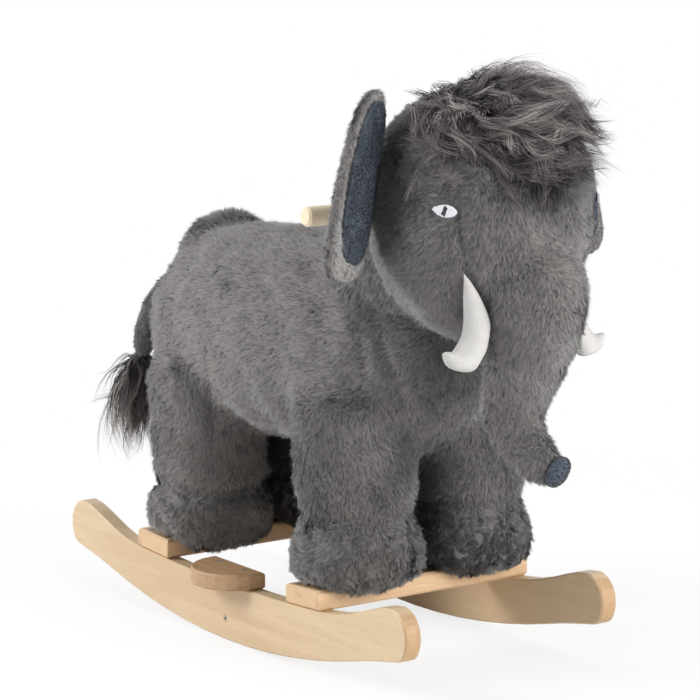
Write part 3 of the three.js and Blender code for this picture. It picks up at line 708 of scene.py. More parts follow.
@dataclass
class Pile:
    """A combed plush pile of short flat fibres, drawn together in locks."""

    length: float = 0.0085
    width: float = 0.00042
    density: float = 1600000
    lift: float = 0.3
    lock: float = 0.003
    gather: float = 0.27
    stray: float = 0.35
    swirl: float = 0.5
    swirl_scale: float = 0.075
    lean: float = 0.22
    sink: float = 0.001
    fleck: float = 1.25
    mottle: float = 0.06
    rows: int = 2
    fine_scale: float = 0.3
    fine_swirl: float = 0.4
    lock_lengths: tuple[float, float] = (0.78, 1.14)
    lengths: tuple[float, float] = (0.7, 1.08)
    widths: tuple[float, float] = (0.75, 1.25)
    jitter: float = 0.35
    bend_share: float = 0.55
    bend_rise: float = 0.22
    twist: float = 0.0025
    lit_round: float = 0.9
    lit_along: float = 0.45
    lit_jitter: float = 0.16
    tone_jitter: float = 0.09
    lock_tone: float = 0.085
    mottle_scale: float = 0.016
    patch_scale: float = 0.06
    patch_tone: float = 0.04

    def mesh(self, ground: Ground, comb: Comb, seed: int) -> Mesh:
        """Grows the pile.

        Args:
            ground: Where the fibres are rooted.
            comb: Gives the way that the fibres are combed at each root.
            seed: Which pile it is.

        Returns:
            The pile's mesh.
        """
        rng = np.random.default_rng(seed)
        roots, normals = ground.points, ground.normals
        count = len(roots)
        way = comb(roots, normals) + ripple(roots, self.swirl_scale, 7) * self.swirl
        way = way + ripple(roots, self.swirl_scale * self.fine_scale, 8) * self.swirl * self.fine_swirl
        way = way - normals * np.sum(way * normals, axis=1, keepdims=True)
        lock = locks(roots, self.lock, seed + 5)
        number = lock.max() + 1
        lean = rng.normal(size=(number, 3))[lock] * self.lean
        reach = rng.uniform(*self.lock_lengths, number)[lock]
        fall = normals * self.lift + unit(way) * (1 - self.lift) + lean * (1 - self.lift)
        fall = unit(fall + rng.normal(size=(count, 3)) * self.stray * self.jitter)
        length = self.length * reach * rng.uniform(*self.lengths, count)
        length = length * (1 - np.clip(ground.depth * 2, 0, 0.6))
        tips = roots + fall * length[:, None]
        shared = lock_mean(roots, lock) + unit(lock_mean(fall, lock)) * (self.length * reach)[:, None]
        tips = tips * (1 - self.gather) + shared * self.gather
        base = roots - normals * self.sink
        bend = base * (1 - self.bend_share) + tips * self.bend_share
        bend = bend + normals * (length * self.bend_rise)[:, None]
        share = np.linspace(0, 1, self.rows)[None, :, None]
        paths = base[:, None] * (1 - share) ** 2 + bend[:, None] * 2 * share * (1 - share)
        paths = paths + tips[:, None] * share ** 2
        across = unit(np.cross(tips - base, normals) + rng.normal(size=(count, 3)) * self.twist)
        lit = normals * self.lit_round + unit(tips - base) * self.lit_along
        lit = unit(lit + rng.normal(size=(count, 3)) * self.lit_jitter)
        tone = rng.normal(size=count) * self.tone_jitter + rng.normal(size=number)[lock] * self.lock_tone
        # Painted shade darkens the tone in creases and shaded places, and a shade below zero paints light.
        tone = tone * self.fleck - ground.depth - ground.shade
        tone = tone + ripple(roots, self.mottle_scale, 9)[:, 0] * self.mottle
        tone = tone + ripple(roots, self.patch_scale, 10)[:, 0] * self.patch_tone
        width = self.width * rng.uniform(*self.widths, count)
        return strand_mesh(paths, across, width, lit, tone)


@dataclass
class Coat:
    """A pile over one surface, in strips that keep each piece within a number of faces."""

    name: str
    pile: Pile
    comb: Comb
    material: Material
    slot: str
    body: Body
    seed: int
    most: int = 190000

    def grow(self, ground: Ground) -> None:
        """Grows the pile on the ground, from the rear to the front."""
        each = 2 * (self.pile.rows - 2) + 1
        strips = math.ceil(len(ground.points) * each / self.most)
        order = np.array_split(np.argsort(ground.points[:, 0]), strips)
        for number, wanted in enumerate(order):
            mesh = self.pile.mesh(ground.kept(wanted), self.comb, self.seed + number)
            name = self.name if strips == 1 else f"{self.name}_{number + 1}"
            finished(name, mesh, self.material, self.body)


def combed(*way: float) -> Comb:
    """A comb that draws the whole pile one way."""
    heading = np.array(way)
    return lambda points, normals: np.broadcast_to(heading, points.shape)


# Sub-assemblies


Finishes = dict[str, Material]

FINISHES = {
    "rail": Timber("rail_timber", (0.66, 0.5, 0.32), (0.6, 0.435, 0.262), Grain.ALONG, end=0.325),
    # A paler copy of the timber, as painted light on the handle.
    "handle": Timber("lit_handle_timber", (0.9, 0.75, 0.54), (0.83, 0.67, 0.46), Grain.ACROSS),
    # A darker copy of the timber, as painted shade from the body above the footrests.
    "footrest": Timber("shaded_footrest_timber", (0.46, 0.29, 0.155), (0.35, 0.2, 0.1), Grain.ALONG),
    "slat": Timber("slat_timber", (0.68, 0.46, 0.27), (0.55, 0.34, 0.18), Grain.ACROSS),
    "frame": Timber("frame_timber", (0.6, 0.44, 0.27), (0.48, 0.33, 0.19), Grain.UPRIGHT, roughness=0.8),
    "steel": Steel("zinc_steel", (0.5, 0.45, 0.39)),
    "pile": Strands("grey_pile", (0.035, 0.033, 0.032), (0.22, 0.21, 0.203), (0.335, 0.319, 0.308)),
    # A paler copy of the pile, as painted light on the ears.
    "lit_ear_pile": Strands("lit_ear_pile", (0.05, 0.048, 0.046), (0.3, 0.288, 0.28), (0.47, 0.45, 0.435)),
    "velvet_pile": Strands("velvet_pile", (0.02, 0.026, 0.034), (0.045, 0.057, 0.072), (0.085, 0.1, 0.122)),
    "hair": Strands(
        "crown_hair", (0.022, 0.018, 0.019), (0.185, 0.158, 0.156), (0.54, 0.485, 0.475),
        roughness=0.55, sheen=0.1,
    ),
    "tuft": Strands(
        "tuft_hair", (0.035, 0.029, 0.029), (0.15, 0.13, 0.125), (0.42, 0.37, 0.355),
        roughness=0.55, sheen=0.1,
    ),
    "hide": Cloth("pile_backing", (0.16, 0.154, 0.149), (0.12, 0.115, 0.111), nap=0.0006),
    "velvet": Cloth("blue_grey_velvet", (0.13, 0.155, 0.195), (0.065, 0.08, 0.108), nap=0.0004, sheen=0.4),
    "tusk": Cloth("off_white_velour", (0.585, 0.57, 0.555), (0.53, 0.515, 0.495), nap=0.0002, sheen=0.1),
    "scalp": Cloth("hair_backing", (0.05, 0.043, 0.042), (0.025, 0.022, 0.021), nap=0.0006),
    "eye": Stitching(
        "white_satin_stitch", (0.86, 0.85, 0.88), (0.6, 0.59, 0.63), pitch=0.0006, rim=(0.62, 0.58, 0.72),
    ),
    "pupil": Stitching("black_satin_stitch", (0.012, 0.012, 0.014), (0.004, 0.004, 0.004), pitch=0.0006),
}

# The finish of each node that keeps its solid, by how its name starts: the first match counts
KEPT = {
    "rocker": "rail", "front_slat": "slat", "rear_slat": "slat", "slat_screw": "steel",
    "stretcher_screw": "steel", "stretcher": "slat", "footrest_screw": "steel", "footrest": "footrest",
    "handle_bar": "handle", "leg_bolt": "steel", "leg_post": "frame", "seat_board": "frame",
    "neck_post": "frame", "backrest_board": "frame",
}


@dataclass
class Woodwork:
    """The rocker base, the handle and the hidden wooden frame, which keep their solids."""

    finishes: Finishes

    def dress(self) -> None:
        """Gives each wooden and steel node its finish."""
        for name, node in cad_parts.items():
            material = self.finish_of(name)
            if material is not None:
                for place in node.material_slots:
                    place.material = material
                log.info("%s keeps its solid as %s", name, material.name)

    def finish_of(self, name: str) -> Material | None:
        """The finish of a node that keeps its solid, or None."""
        start = next((start for start in KEPT if name.startswith(start)), None)
        return None if start is None else self.finishes[KEPT[start]]


@dataclass(frozen=True)
class Crease:
    """A line along which the plush is drawn in by a seam or a fold, or painted darker or lighter as shade or
    light, or both.
    """

    places: tuple[Place, ...]
    reach: float
    shade: float
    depth: float = 0.0
    sides: tuple[int, ...] = (-1, 1)

    def pull(self, points: Array) -> Array:
        """How much of the crease is felt at each point, from 0 to 1."""
        line = np.array(self.places)
        nearest = np.full(len(points), np.inf)
        for start, end in zip(line[:-1], line[1:]):
            along = end - start
            share = np.clip((points - start) @ along / (along @ along), 0, 1)
            nearest = np.minimum(nearest, np.linalg.norm(points - start - share[:, None] * along, axis=1))
        return np.exp(-((nearest / self.reach) ** 2))


COMBS = {
    "body": (-0.8, 0.0, -0.62),
    "head": (-0.5, 0.0, -0.7),
    "backrest": (-0.5, 0.0, -0.7),
    "trunk": (0.1, 0.0, -1.0),
}
LEG_COMB = (-0.1, 0.0, -1.0)

# Each line is written for the left side. LEFT_ONLY keeps it there, and the rest are mirrored too.

LEFT_ONLY = (1,)

CHEEK_SEAM = ((0.3065, 0.0863, 0.489), (0.308, 0.0824, 0.462), (0.3047, 0.0736, 0.432), (0.3, 0.066, 0.405))
CHEEK_DIMPLE = (
    (0.283, 0.0934, 0.429), (0.2866, 0.0938, 0.4373), (0.2911, 0.0912, 0.4425), (0.2966, 0.0869, 0.4438),
)
NECK_FOLD = (
    (0.1541, 0.0769, 0.374), (0.1636, 0.0738, 0.3563), (0.1732, 0.0707, 0.3266), (0.1799, 0.0604, 0.2855),
)
SHOULDER_FOLD = ((0.135, 0.09, 0.38), (0.145, 0.088, 0.35), (0.152, 0.085, 0.32))
RUMP_TOP = ((-0.19, 0.1, 0.38), (-0.25, 0.07, 0.365))
RUMP_SIDE = ((-0.262, 0.085, 0.34), (-0.264, 0.084, 0.3), (-0.262, 0.085, 0.26))
BACKREST_CORNER = ((-0.231, 0.038, 0.406), (-0.231, 0.052, 0.4))
FLANK_FOLD = ((-0.096, 0.116, 0.304), (-0.098, 0.113, 0.276), (-0.111, 0.102, 0.245), (-0.111, 0.1, 0.212))

# Each fold draws the skin in by its depth, and its shade paints the pile darker along it, as shade in the
# crease.
FOLDS = (
    Crease(CHEEK_SEAM, 0.005, 0.6, 0.008),
    Crease(CHEEK_DIMPLE, 0.0042, 0.9, 0.006),
    Crease(NECK_FOLD, 0.006, 0.15, 0.004),
    Crease(SHOULDER_FOLD, 0.006, 0.12, 0.003),
    Crease(RUMP_TOP, 0.042, 0.0, 0.008),
    Crease(RUMP_SIDE, 0.045, 0.0, 0.005),
    Crease(BACKREST_CORNER, 0.015, 0.0, -0.006),
    Crease(FLANK_FOLD, 0.005, 0.15, 0.003),
)

# Lines of painted shade: the ear's shadow on the head beside and before it, the shadows under the jowl and
# round the neck, on the chest beside the trunk, above the front leg and under the fringe.
BESIDE_EAR = ((0.18, 0.068, 0.569), (0.216, 0.097, 0.549), (0.25, 0.105, 0.526))
BEFORE_EAR = ((0.216, 0.097, 0.549), (0.229, 0.107, 0.526), (0.232, 0.112, 0.497), (0.23, 0.113, 0.472))
UNDER_JOWL = ((0.219, 0.109, 0.43), (0.205, 0.098, 0.405), (0.215, 0.085, 0.385), (0.24, 0.07, 0.372))
CHEST = ((0.203, 0.0, 0.336), (0.2, 0.03, 0.31), (0.19, 0.03, 0.277))
ABOVE_LEG = ((0.174, 0.052, 0.24), (0.175, 0.062, 0.218), (0.174, 0.08, 0.195))
ROUND_NECK = ((0.128, 0.083, 0.4), (0.149, 0.076, 0.379), (0.175, 0.057, 0.364), (0.194, 0.034, 0.357))
UNDER_FRINGE = ((0.337, 0.046, 0.519), (0.343, 0.0265, 0.52), (0.347, 0.0045, 0.519))

SHADES = (
    Crease(BESIDE_EAR, 0.05, 0.65),
    Crease(BEFORE_EAR, 0.026, 0.9),
    Crease(UNDER_JOWL, 0.02, 0.22),
    Crease(CHEST, 0.016, 0.15),
    Crease(ABOVE_LEG, 0.018, 0.35),
    Crease(ROUND_NECK, 0.014, 0.3),
    Crease(UNDER_FRINGE, 0.024, 0.7),
    # The trunk, the rear leg, the shoulder and the cheek, which catch the light
    Crease(((0.33, 0.045, 0.39), (0.3, 0.045, 0.29)), 0.05, -0.2),
    Crease(((-0.12, 0.12, 0.29), (-0.12, 0.12, 0.17)), 0.055, -0.38),
    Crease(((0.19, 0.05, 0.32), (0.18, 0.07, 0.27)), 0.035, -0.15),
    Crease(((0.29, 0.095, 0.46), (0.25, 0.1, 0.42)), 0.035, -0.12),
    # Round the front feet, between the legs, and on the left ones alone, which lie in the toy's own shadow
    Crease(((0.12, 0.135, 0.11), (0.19, 0.1, 0.1), (0.19, 0.03, 0.1)), 0.05, 0.3),
    Crease(((0.12, 0.012, 0.09), (0.12, 0.012, 0.2)), 0.045, 0.35),
    Crease(((-0.17, -0.01, 0.08), (-0.17, -0.01, 0.24)), 0.055, 0.7),
    Crease(((-0.12, 0.04, 0.08), (-0.12, 0.04, 0.26)), 0.045, 0.9, sides=LEFT_ONLY),
    Crease(((0.12, 0.03, 0.11), (0.17, 0.05, 0.1), (0.19, 0.1, 0.1)), 0.05, 0.5, sides=LEFT_ONLY),
    # Painted shade on the belly's edge and the back
    Crease(((-0.06, 0.1, 0.222), (0.06, 0.1, 0.222)), 0.03, 0.14),
    Crease(((0.1, 0.08, 0.4), (-0.15, 0.08, 0.42)), 0.05, 0.05),
)


@dataclass
class Hide:
    """The cover of body, legs, feet, head, trunk and backrest, shaped as one skin and split into panels."""

    finishes: Finishes
    voxel: float = 0.0045
    room: float = 0.0035
    lumps: float = 0.0022
    meet: float = 0.016
    meet_rounds: int = 16
    bore: float = 0.0125
    shank: float = 0.0635
    shank_above: float = 1.3
    shank_below: float = 0.6
    sag_width: float = 0.02
    sag_drop: float = 0.009
    pile: Pile = field(default_factory=Pile)
    foot_pile: Pile = field(
        default_factory=lambda: Pile(
            length=0.008, swirl=1.2, swirl_scale=0.035, stray=0.3, lock=0.005, gather=0.4,
        )
    )
    trunks: tuple[str, ...] = ("body", "head", "trunk", "backrest")
    fillers: tuple[str, ...] = (*at_corners("leg_post"), "seat_board", "neck_post", "backrest_board")
    tusk_room: float = 0.0045
    eye_shift: Place = (0.002, 0.0, 0.001)
    eye_margin: Place = (0.0045, 0.013, 0.005)
    slat_side: float = 0.003
    slat_top: float = 0.002
    downward: float = -0.95
    ring_radius: float = 0.067
    ring_steps: int = 28
    ring_depth: float = 0.009
    ring_reach: float = 0.008
    ring_heights: tuple[float, float] = (0.162, 0.143)
    ring_shades: tuple[float, float] = (0.4, 0.7)
    root_seed: int = 20
    pile_seed: int = 40

    def __post_init__(self) -> None:
        """Lists the forms that the cover is sewn over, and its creases."""
        self.forms = self.trunks + at_corners("leg") + at_corners("foot")
        self.creases = self.all_creases()
        self.shades = self.both_sides(SHADES)

    def build(self) -> None:
        """Makes the cover's panels and the pile on each."""
        skin, regions = self.skin()
        whole = mesh_of(skin)
        eyes = [self.eye_room(side) for side in SIDES]
        tusks = [BVHTree.FromBMesh(tusk_form(side)) for side in SIDES]
        for number, name in enumerate(self.forms):
            mask = regions == number
            panel = self.panel(whole, mask)
            piece = finished(f"{name}_cover", panel, self.finishes["hide"], Body.TOY)
            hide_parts(name)
            pile = self.foot_pile if name.startswith("foot") else self.pile
            ground = scattered(whole, pile.density, self.root_seed + number, mask)
            for centre, reach in eyes:
                away = (ground.points - centre) / reach
                ground = ground.kept(np.sum(away ** 2, axis=1) > 1)
            if name in ("head", "trunk"):
                ground = ground.kept(self.clear_of(tusks, ground.points))
            if name.startswith("foot"):
                ground = ground.kept(self.off_slat(name, ground))
            # The crease and shade lines give painted shade, and painted light where a shade is below zero.
            ground.depth = sum(crease.pull(ground.points) * crease.shade for crease in self.creases)
            ground.shade = sum(shade.pull(ground.points) * shade.shade for shade in self.shades)
            comb = combed(*COMBS.get(name, LEG_COMB))
            seed = self.pile_seed + 10 * number
            Coat(f"{name}_pile", pile, comb, self.finishes["pile"], "plush", Body.TOY, seed).grow(ground)

    def all_creases(self) -> list[Crease]:
        """The folds of both sides, and a ring above each foot, drawn in and painted darker as shade in the
        crease.
        """
        found = self.both_sides(FOLDS)
        for end, height, shade in zip(ENDS, self.ring_heights, self.ring_shades):
            for side in SIDES:
                ring = self.ring(middle_of(f"foot_{end}_{side}"), height)
                found.append(Crease(ring, self.ring_reach, shade, self.ring_depth))
        return found

    @staticmethod
    def both_sides(lines: Sequence[Crease]) -> list[Crease]:
        """Each line once for each of its sides, mirrored for the right."""
        return [
            replace(line, places=tuple((x, side * y, z) for x, y, z in line.places))
            for side in (-1, 1) for line in lines if side in line.sides
        ]

    def ring(self, centre: Vector, height: float) -> tuple[Place, ...]:
        """A level ring round a leg's middle."""
        radius, steps = self.ring_radius, self.ring_steps
        turns = [2 * math.pi * step / steps for step in range(steps + 1)]
        return tuple(
            (centre.x + radius * math.cos(turn), centre.y + radius * math.sin(turn), height) for turn in turns
        )

    @staticmethod
    def tree(node: str) -> BVHTree:
        """A search tree over a node's surface."""
        form = merged(node)
        found = BVHTree.FromBMesh(form)
        form.free()
        return found

    def clear_of(self, trees: Sequence[BVHTree], points: Array) -> Array:
        """Which points stand clear of the tusks."""
        gaps = [min(tree.find_nearest(Vector(point))[3] for tree in trees) for point in points]
        return np.array(gaps) > self.tusk_room

    def off_slat(self, name: str, ground: Ground) -> Array:
        """Which points of a foot neither lie on the slat nor look straight down."""
        low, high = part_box("front_slat" if "front" in name else "rear_slat")
        along, height = ground.points[:, 0], ground.points[:, 2]
        over = (along > low.x - self.slat_side) & (along < high.x + self.slat_side)
        return ~(over & (height < high.z + self.slat_top)) & (ground.normals[:, 2] > self.downward)

    def skin(self) -> tuple[BMesh, Array]:
        """Joins the forms as one skin.

        Returns:
            The skin, and the number of the form that each of its faces belongs to.
        """
        joined = bmesh.new()
        for name in self.forms + self.fillers:
            joined.from_mesh(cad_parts[name].data)
        bmesh.ops.remove_doubles(joined, verts=joined.verts, dist=1e-6)
        self.fill_bore(joined)
        self.fill_shanks(joined)
        skin = remeshed(joined, self.voxel)
        soothed(skin, 4)
        trees = [self.tree(name) for name in self.forms]
        gaps = np.array([[tree.find_nearest(vert.co)[3] for tree in trees] for vert in skin.verts])
        order = np.argsort(gaps, axis=1)
        second = np.take_along_axis(gaps, order[:, 1:2], axis=1)[:, 0]
        soft = (second < self.meet) & self.sewn_soft(order[:, 0], order[:, 1])
        verts = list(skin.verts)
        soothed(skin, self.meet_rounds, [vert for vert, wanted in zip(verts, soft) if wanted])
        skin.verts.index_update()
        summed = [sum(gaps[vert.index] for vert in face.verts) for face in skin.faces]
        regions = np.argmin(np.array(summed), axis=1)
        drawn_in(skin, self.room, self.lumps, 3)
        self.sag(skin)
        self.press(skin)
        return skin, regions

    def sewn_soft(self, first: Array, second: Array) -> Array:
        """Whether two forms run into each other smoothly: the head and trunk only into each other."""
        face = (self.forms.index("head"), self.forms.index("trunk"))
        return np.isin(first, face) == np.isin(second, face)

    def sag(self, skin: BMesh) -> None:
        """Lets the rear feet hang down at each side of their slat."""
        low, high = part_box("rear_slat")
        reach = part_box("foot_rear_right")[1].x
        for vert in skin.verts:
            clear = max(vert.co.x - high.x, low.x - vert.co.x) / self.sag_width
            if vert.co.x < reach and vert.co.z < high.z + self.sag_width and clear > 0:
                share = (high.z + self.sag_width - vert.co.z) / self.sag_width
                vert.co.z -= self.sag_drop * min(1.0, clear) * min(1.0, share)

    def press(self, skin: BMesh) -> None:
        """Draws the skin in along its creases."""
        places = np.array([vert.co for vert in skin.verts])
        depth = sum(crease.pull(places) * crease.depth for crease in self.creases)
        for vert, press in zip(skin.verts, depth):
            vert.co -= vert.normal * float(press)
        skin.normal_update()

    def fill_bore(self, joined: BMesh) -> None:
        """Fills the handle's passage with a plug, so that the skin closes round the handle."""
        low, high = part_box("handle_bar")
        centre = (low + high) / 2
        depth = (high.y - low.y) / 2
        made = bmesh.ops.create_cone(
            joined, cap_ends=True, segments=16, radius1=self.bore, radius2=self.bore, depth=depth,
        )
        for vert in made["verts"]:
            vert.co = Vector((vert.co.x, vert.co.z, -vert.co.y)) + centre

    def fill_shanks(self, joined: BMesh) -> None:
        """Fills each leg out down into its foot, so that it runs straight into it."""
        for end in ENDS:
            for side in SIDES:
                foot_low, foot_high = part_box(f"foot_{end}_{side}")
                middle = (foot_low + foot_high) / 2
                top = foot_high.z + self.shank * self.shank_above
                low = foot_high.z - self.shank * self.shank_below
                made = bmesh.ops.create_cone(
                    joined, cap_ends=True, segments=28, radius1=self.shank, radius2=self.shank,
                    depth=top - low,
                )
                shift = Vector((middle.x, middle.y, (top + low) / 2))
                bmesh.ops.translate(joined, verts=made["verts"], vec=shift)

    @staticmethod
    def panel(whole: Mesh, mask: Array) -> Mesh:
        """One form's part of the skin, closed where it meets the others."""
        part = bmesh.new()
        part.from_mesh(whole)
        part.faces.ensure_lookup_table()
        others = [face for face, wanted in zip(part.faces, mask) if not wanted]
        bmesh.ops.delete(part, geom=others, context="FACES")
        rim = [edge for edge in part.edges if edge.is_boundary]
        bmesh.ops.holes_fill(part, edges=rim, sides=0)
        bmesh.ops.triangulate(part, faces=[face for face in part.faces if len(face.verts) > 4])
        return mesh_of(part)

    def eye_room(self, side: str) -> tuple[Array, Array]:
        """The middle of an eye and how far the pile keeps from it."""
        eye = f"eye_{side}"
        return np.array(middle_of(eye)) + self.eye_shift, np.array(half_of(eye)) + self.eye_margin


@dataclass
class Stuffed:
    """A stuffed form with a cover and a pile of its own, apart from the rest."""

    finishes: Finishes
    node: str
    body: Body
    comb: Comb
    pile: Pile
    voxel: float = 0.004
    room: float = 0.004
    lumps: float = 0.0015
    rounds: int = 6
    seed: int = 1
    fill: float = 0.85

    def build(self) -> None:
        """Makes the cover and its pile."""
        skin = remeshed(merged(self.node), self.voxel)
        soothed(skin, self.rounds)
        drawn_in(skin, self.room, self.lumps, self.seed)
        mesh = mesh_of(skin)
        ground = scattered(mesh, self.pile.density, self.seed + 1)
        piece = finished(f"{self.node}_cover", mesh, self.finishes["hide"], self.body)
        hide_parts(self.node)
        name, finish = f"{self.node}_pile", self.finishes["pile"]
        Coat(name, self.pile, self.comb, finish, "plush", self.body, self.seed + 2).grow(ground)


@dataclass
class Ear:
    """An ear: a plush flap whose front is lined with velvet."""

    finishes: Finishes
    side: str
    body: Body
    flap_voxel: float = 0.0024
    lining_voxel: float = 0.0012
    room: float = 0.0012
    lumps: float = 0.0006
    seed: int = 60
    lining_gap: float = 0.0003
    lining_rise: float = 1.12
    lining_inward: float = 0.002
    droop: float = 0.005
    bluntness: float = 0.3
    most: float = 1.5
    steps: int = 30
    front: float = -0.4
    rim_light: float = 0.45
    pile: Pile = field(
        default_factory=lambda: Pile(length=0.0065, lift=0.3, density=2400000, gather=0.12, fleck=0.7)
    )
    nap: Pile = field(
        default_factory=lambda: Pile(
            length=0.002, width=0.0006, density=2600000, lift=0.4, stray=0.2, lock=0.02, gather=0.0,
            sink=0.0006, swirl=0.2, lean=0.04, fleck=0.3, mottle=0.2,
        )
    )

    def __post_init__(self) -> None:
        """Notes which way along Y leads away from the head."""
        self.outward = OUTWARD[self.side]

    def build(self) -> None:
        """Makes the flap, the lining and the pile on each."""
        flap = remeshed(merged(f"ear_{self.side}"), self.flap_voxel)
        soothed(flap, 3)
        self.fuller(flap)
        drawn_in(flap, self.room, self.lumps, self.seed)
        lining = remeshed(merged(f"ear_lining_{self.side}"), self.lining_voxel)
        soothed(lining, 3)
        self.fuller(lining, self.droop)
        self.stretch(lining)
        self.plush(mesh_of(flap), BVHTree.FromBMesh(lining))
        self.velvet(mesh_of(lining))

    def plush(self, flap: Mesh, lining: BVHTree) -> None:
        """The flap and its pile, which keeps off the lining and gets painted light towards the front."""
        ground = scattered(flap, self.pile.density, self.seed + 1)
        gaps = np.array([lining.find_nearest(Vector(point))[3] for point in ground.points])
        ground = ground.kept(gaps > self.lining_gap)
        # Painted light: the pile is paler where the flap faces the front.
        ground.shade = -self.rim_light * np.clip(ground.normals[:, 0] - self.front, 0, 1)
        comb = combed(0.25, -self.outward * 0.3, -1.0)
        cover = finished(f"ear_{self.side}_cover", flap, self.finishes["hide"], self.body)
        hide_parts(f"ear_{self.side}")
        name, finish = f"ear_{self.side}_pile", self.finishes["lit_ear_pile"]
        Coat(name, self.pile, comb, finish, "plush", self.body, self.seed + 2).grow(ground)

    def velvet(self, lining: Mesh) -> None:
        """The lining and the nap on its front."""
        ground = scattered(lining, self.nap.density, self.seed + 3)
        ground = ground.kept(ground.normals[:, 0] > self.front)
        nap = self.nap.mesh(ground, combed(0.2, self.outward * 0.2, -1.0), self.seed + 4)
        piece = finished(f"ear_{self.side}_velvet", lining, self.finishes["velvet"], self.body)
        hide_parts(f"ear_lining_{self.side}")
        finished(f"ear_{self.side}_nap", nap, self.finishes["velvet_pile"], self.body)

    def stretch(self, lining: BMesh) -> None:
        """Carries the lining up to the tip of the ear and in to the head."""
        low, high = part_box(f"ear_lining_{self.side}")
        middle = (low + high) / 2
        for vert in lining.verts:
            share = min(1.0, max(0.0, (middle.y - vert.co.y) * self.outward / ((high.y - low.y) / 2)))
            vert.co.y -= self.outward * self.lining_inward * share
            if vert.co.z > middle.z:
                vert.co.z = middle.z + (vert.co.z - middle.z) * self.lining_rise

    def fuller(self, form: BMesh, droop: float = 0.0) -> None:
        """Rounds the lower end outwards, as the ear hangs broad and blunt there.

        Args:
            form: The flap or its lining.
            droop: How far its lower end is drawn down, in metres.
        """
        low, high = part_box(f"ear_{self.side}")
        places = np.array([vert.co for vert in form.verts])
        share = np.clip((places[:, 2] - low.z) / (high.z - low.z), 0.015, 0.5)
        step = np.minimum((share * 2 * self.steps).astype(int), self.steps - 1)
        level = [places[step == at, 1] for at in range(self.steps)]
        middle = np.array([group.mean() if len(group) else 0 for group in level])[step]
        ellipse = np.sqrt(1 - (1 - 2 * share) ** 2)
        blunt = (1 - (1 - 2 * share) ** 4) ** 0.25
        factor = np.minimum(1 + (blunt / ellipse - 1) * self.bluntness, self.most)
        away = (places[:, 1] - middle) * self.outward
        moved = np.where(away > 0, middle + self.outward * away * factor, places[:, 1])
        for vert, y, up in zip(form.verts, moved, share):
            vert.co.y = float(y)
            vert.co.z -= droop * (1 - float(up) * 2)
        soothed(form, 4)


TUSK_VOXEL = 0.0018
TUSK_ROOT = (0.3055, 0.0765, 0.431)
TUSK_BOW = {"right": 0.0075, "left": 0.0}
TUSK_DROP = 0.005
TIP_LENGTH = 0.022
TIP_REACH = {"right": 0.009, "left": 0.001}
TIP_RISE = 0.009
ROOT_START = 0.55
ROOT_TAPER = 0.8


def tusk_form(side: str) -> BMesh:
    """A tusk, smoothed from its solid, with its root drawn up into the seam.

    Args:
        side: Which tusk it is.

    Returns:
        The closed form.
    """
    form = remeshed(merged(f"tusk_{side}"), TUSK_VOXEL)
    soothed(form, 6)
    low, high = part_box(f"tusk_{side}")
    turn = OUTWARD[side]
    outer = high.y if turn > 0 else -low.y
    for vert in form.verts:
        tip = min(1.0, max(0.0, (vert.co.y * turn - outer) / TIP_LENGTH + 1))
        vert.co.y += turn * TIP_REACH[side] * tip
        lower = min(1.0, max(0.0, (high.z - vert.co.z) / (high.z - low.z)))
        vert.co.x += TUSK_BOW[side] * math.sin(math.pi * min(1.0, lower * 0.85)) * (1 - tip)
        vert.co.z += TIP_RISE * tip ** 1.5 - TUSK_DROP * lower
    soothed(form, 6)
    places = np.array([vert.co for vert in form.verts])
    root = np.array(TUSK_ROOT) * (1, turn, 1)
    top, low = places[:, 2].max(), places[:, 2].min()
    start = low + (top - low) * ROOT_START
    share = np.clip((places[:, 2] - start) / (top - start), 0, 1)
    first = places[np.abs(share - 0.05) < 0.05].mean(0)
    last = places[share > 0.8].mean(0)
    share = share[:, None]
    middle = first + (last - first) * share
    moved = middle + (places - middle) * (1 - ROOT_TAPER * share ** 2) + (root - last) * share ** 1.4
    moved[:, 2] = places[:, 2] + (root[2] - top) * share[:, 0]
    for vert, place in zip(form.verts, np.where(share > 0, moved, places)):
        vert.co = Vector(place)
    soothed(form, 2)
    return form


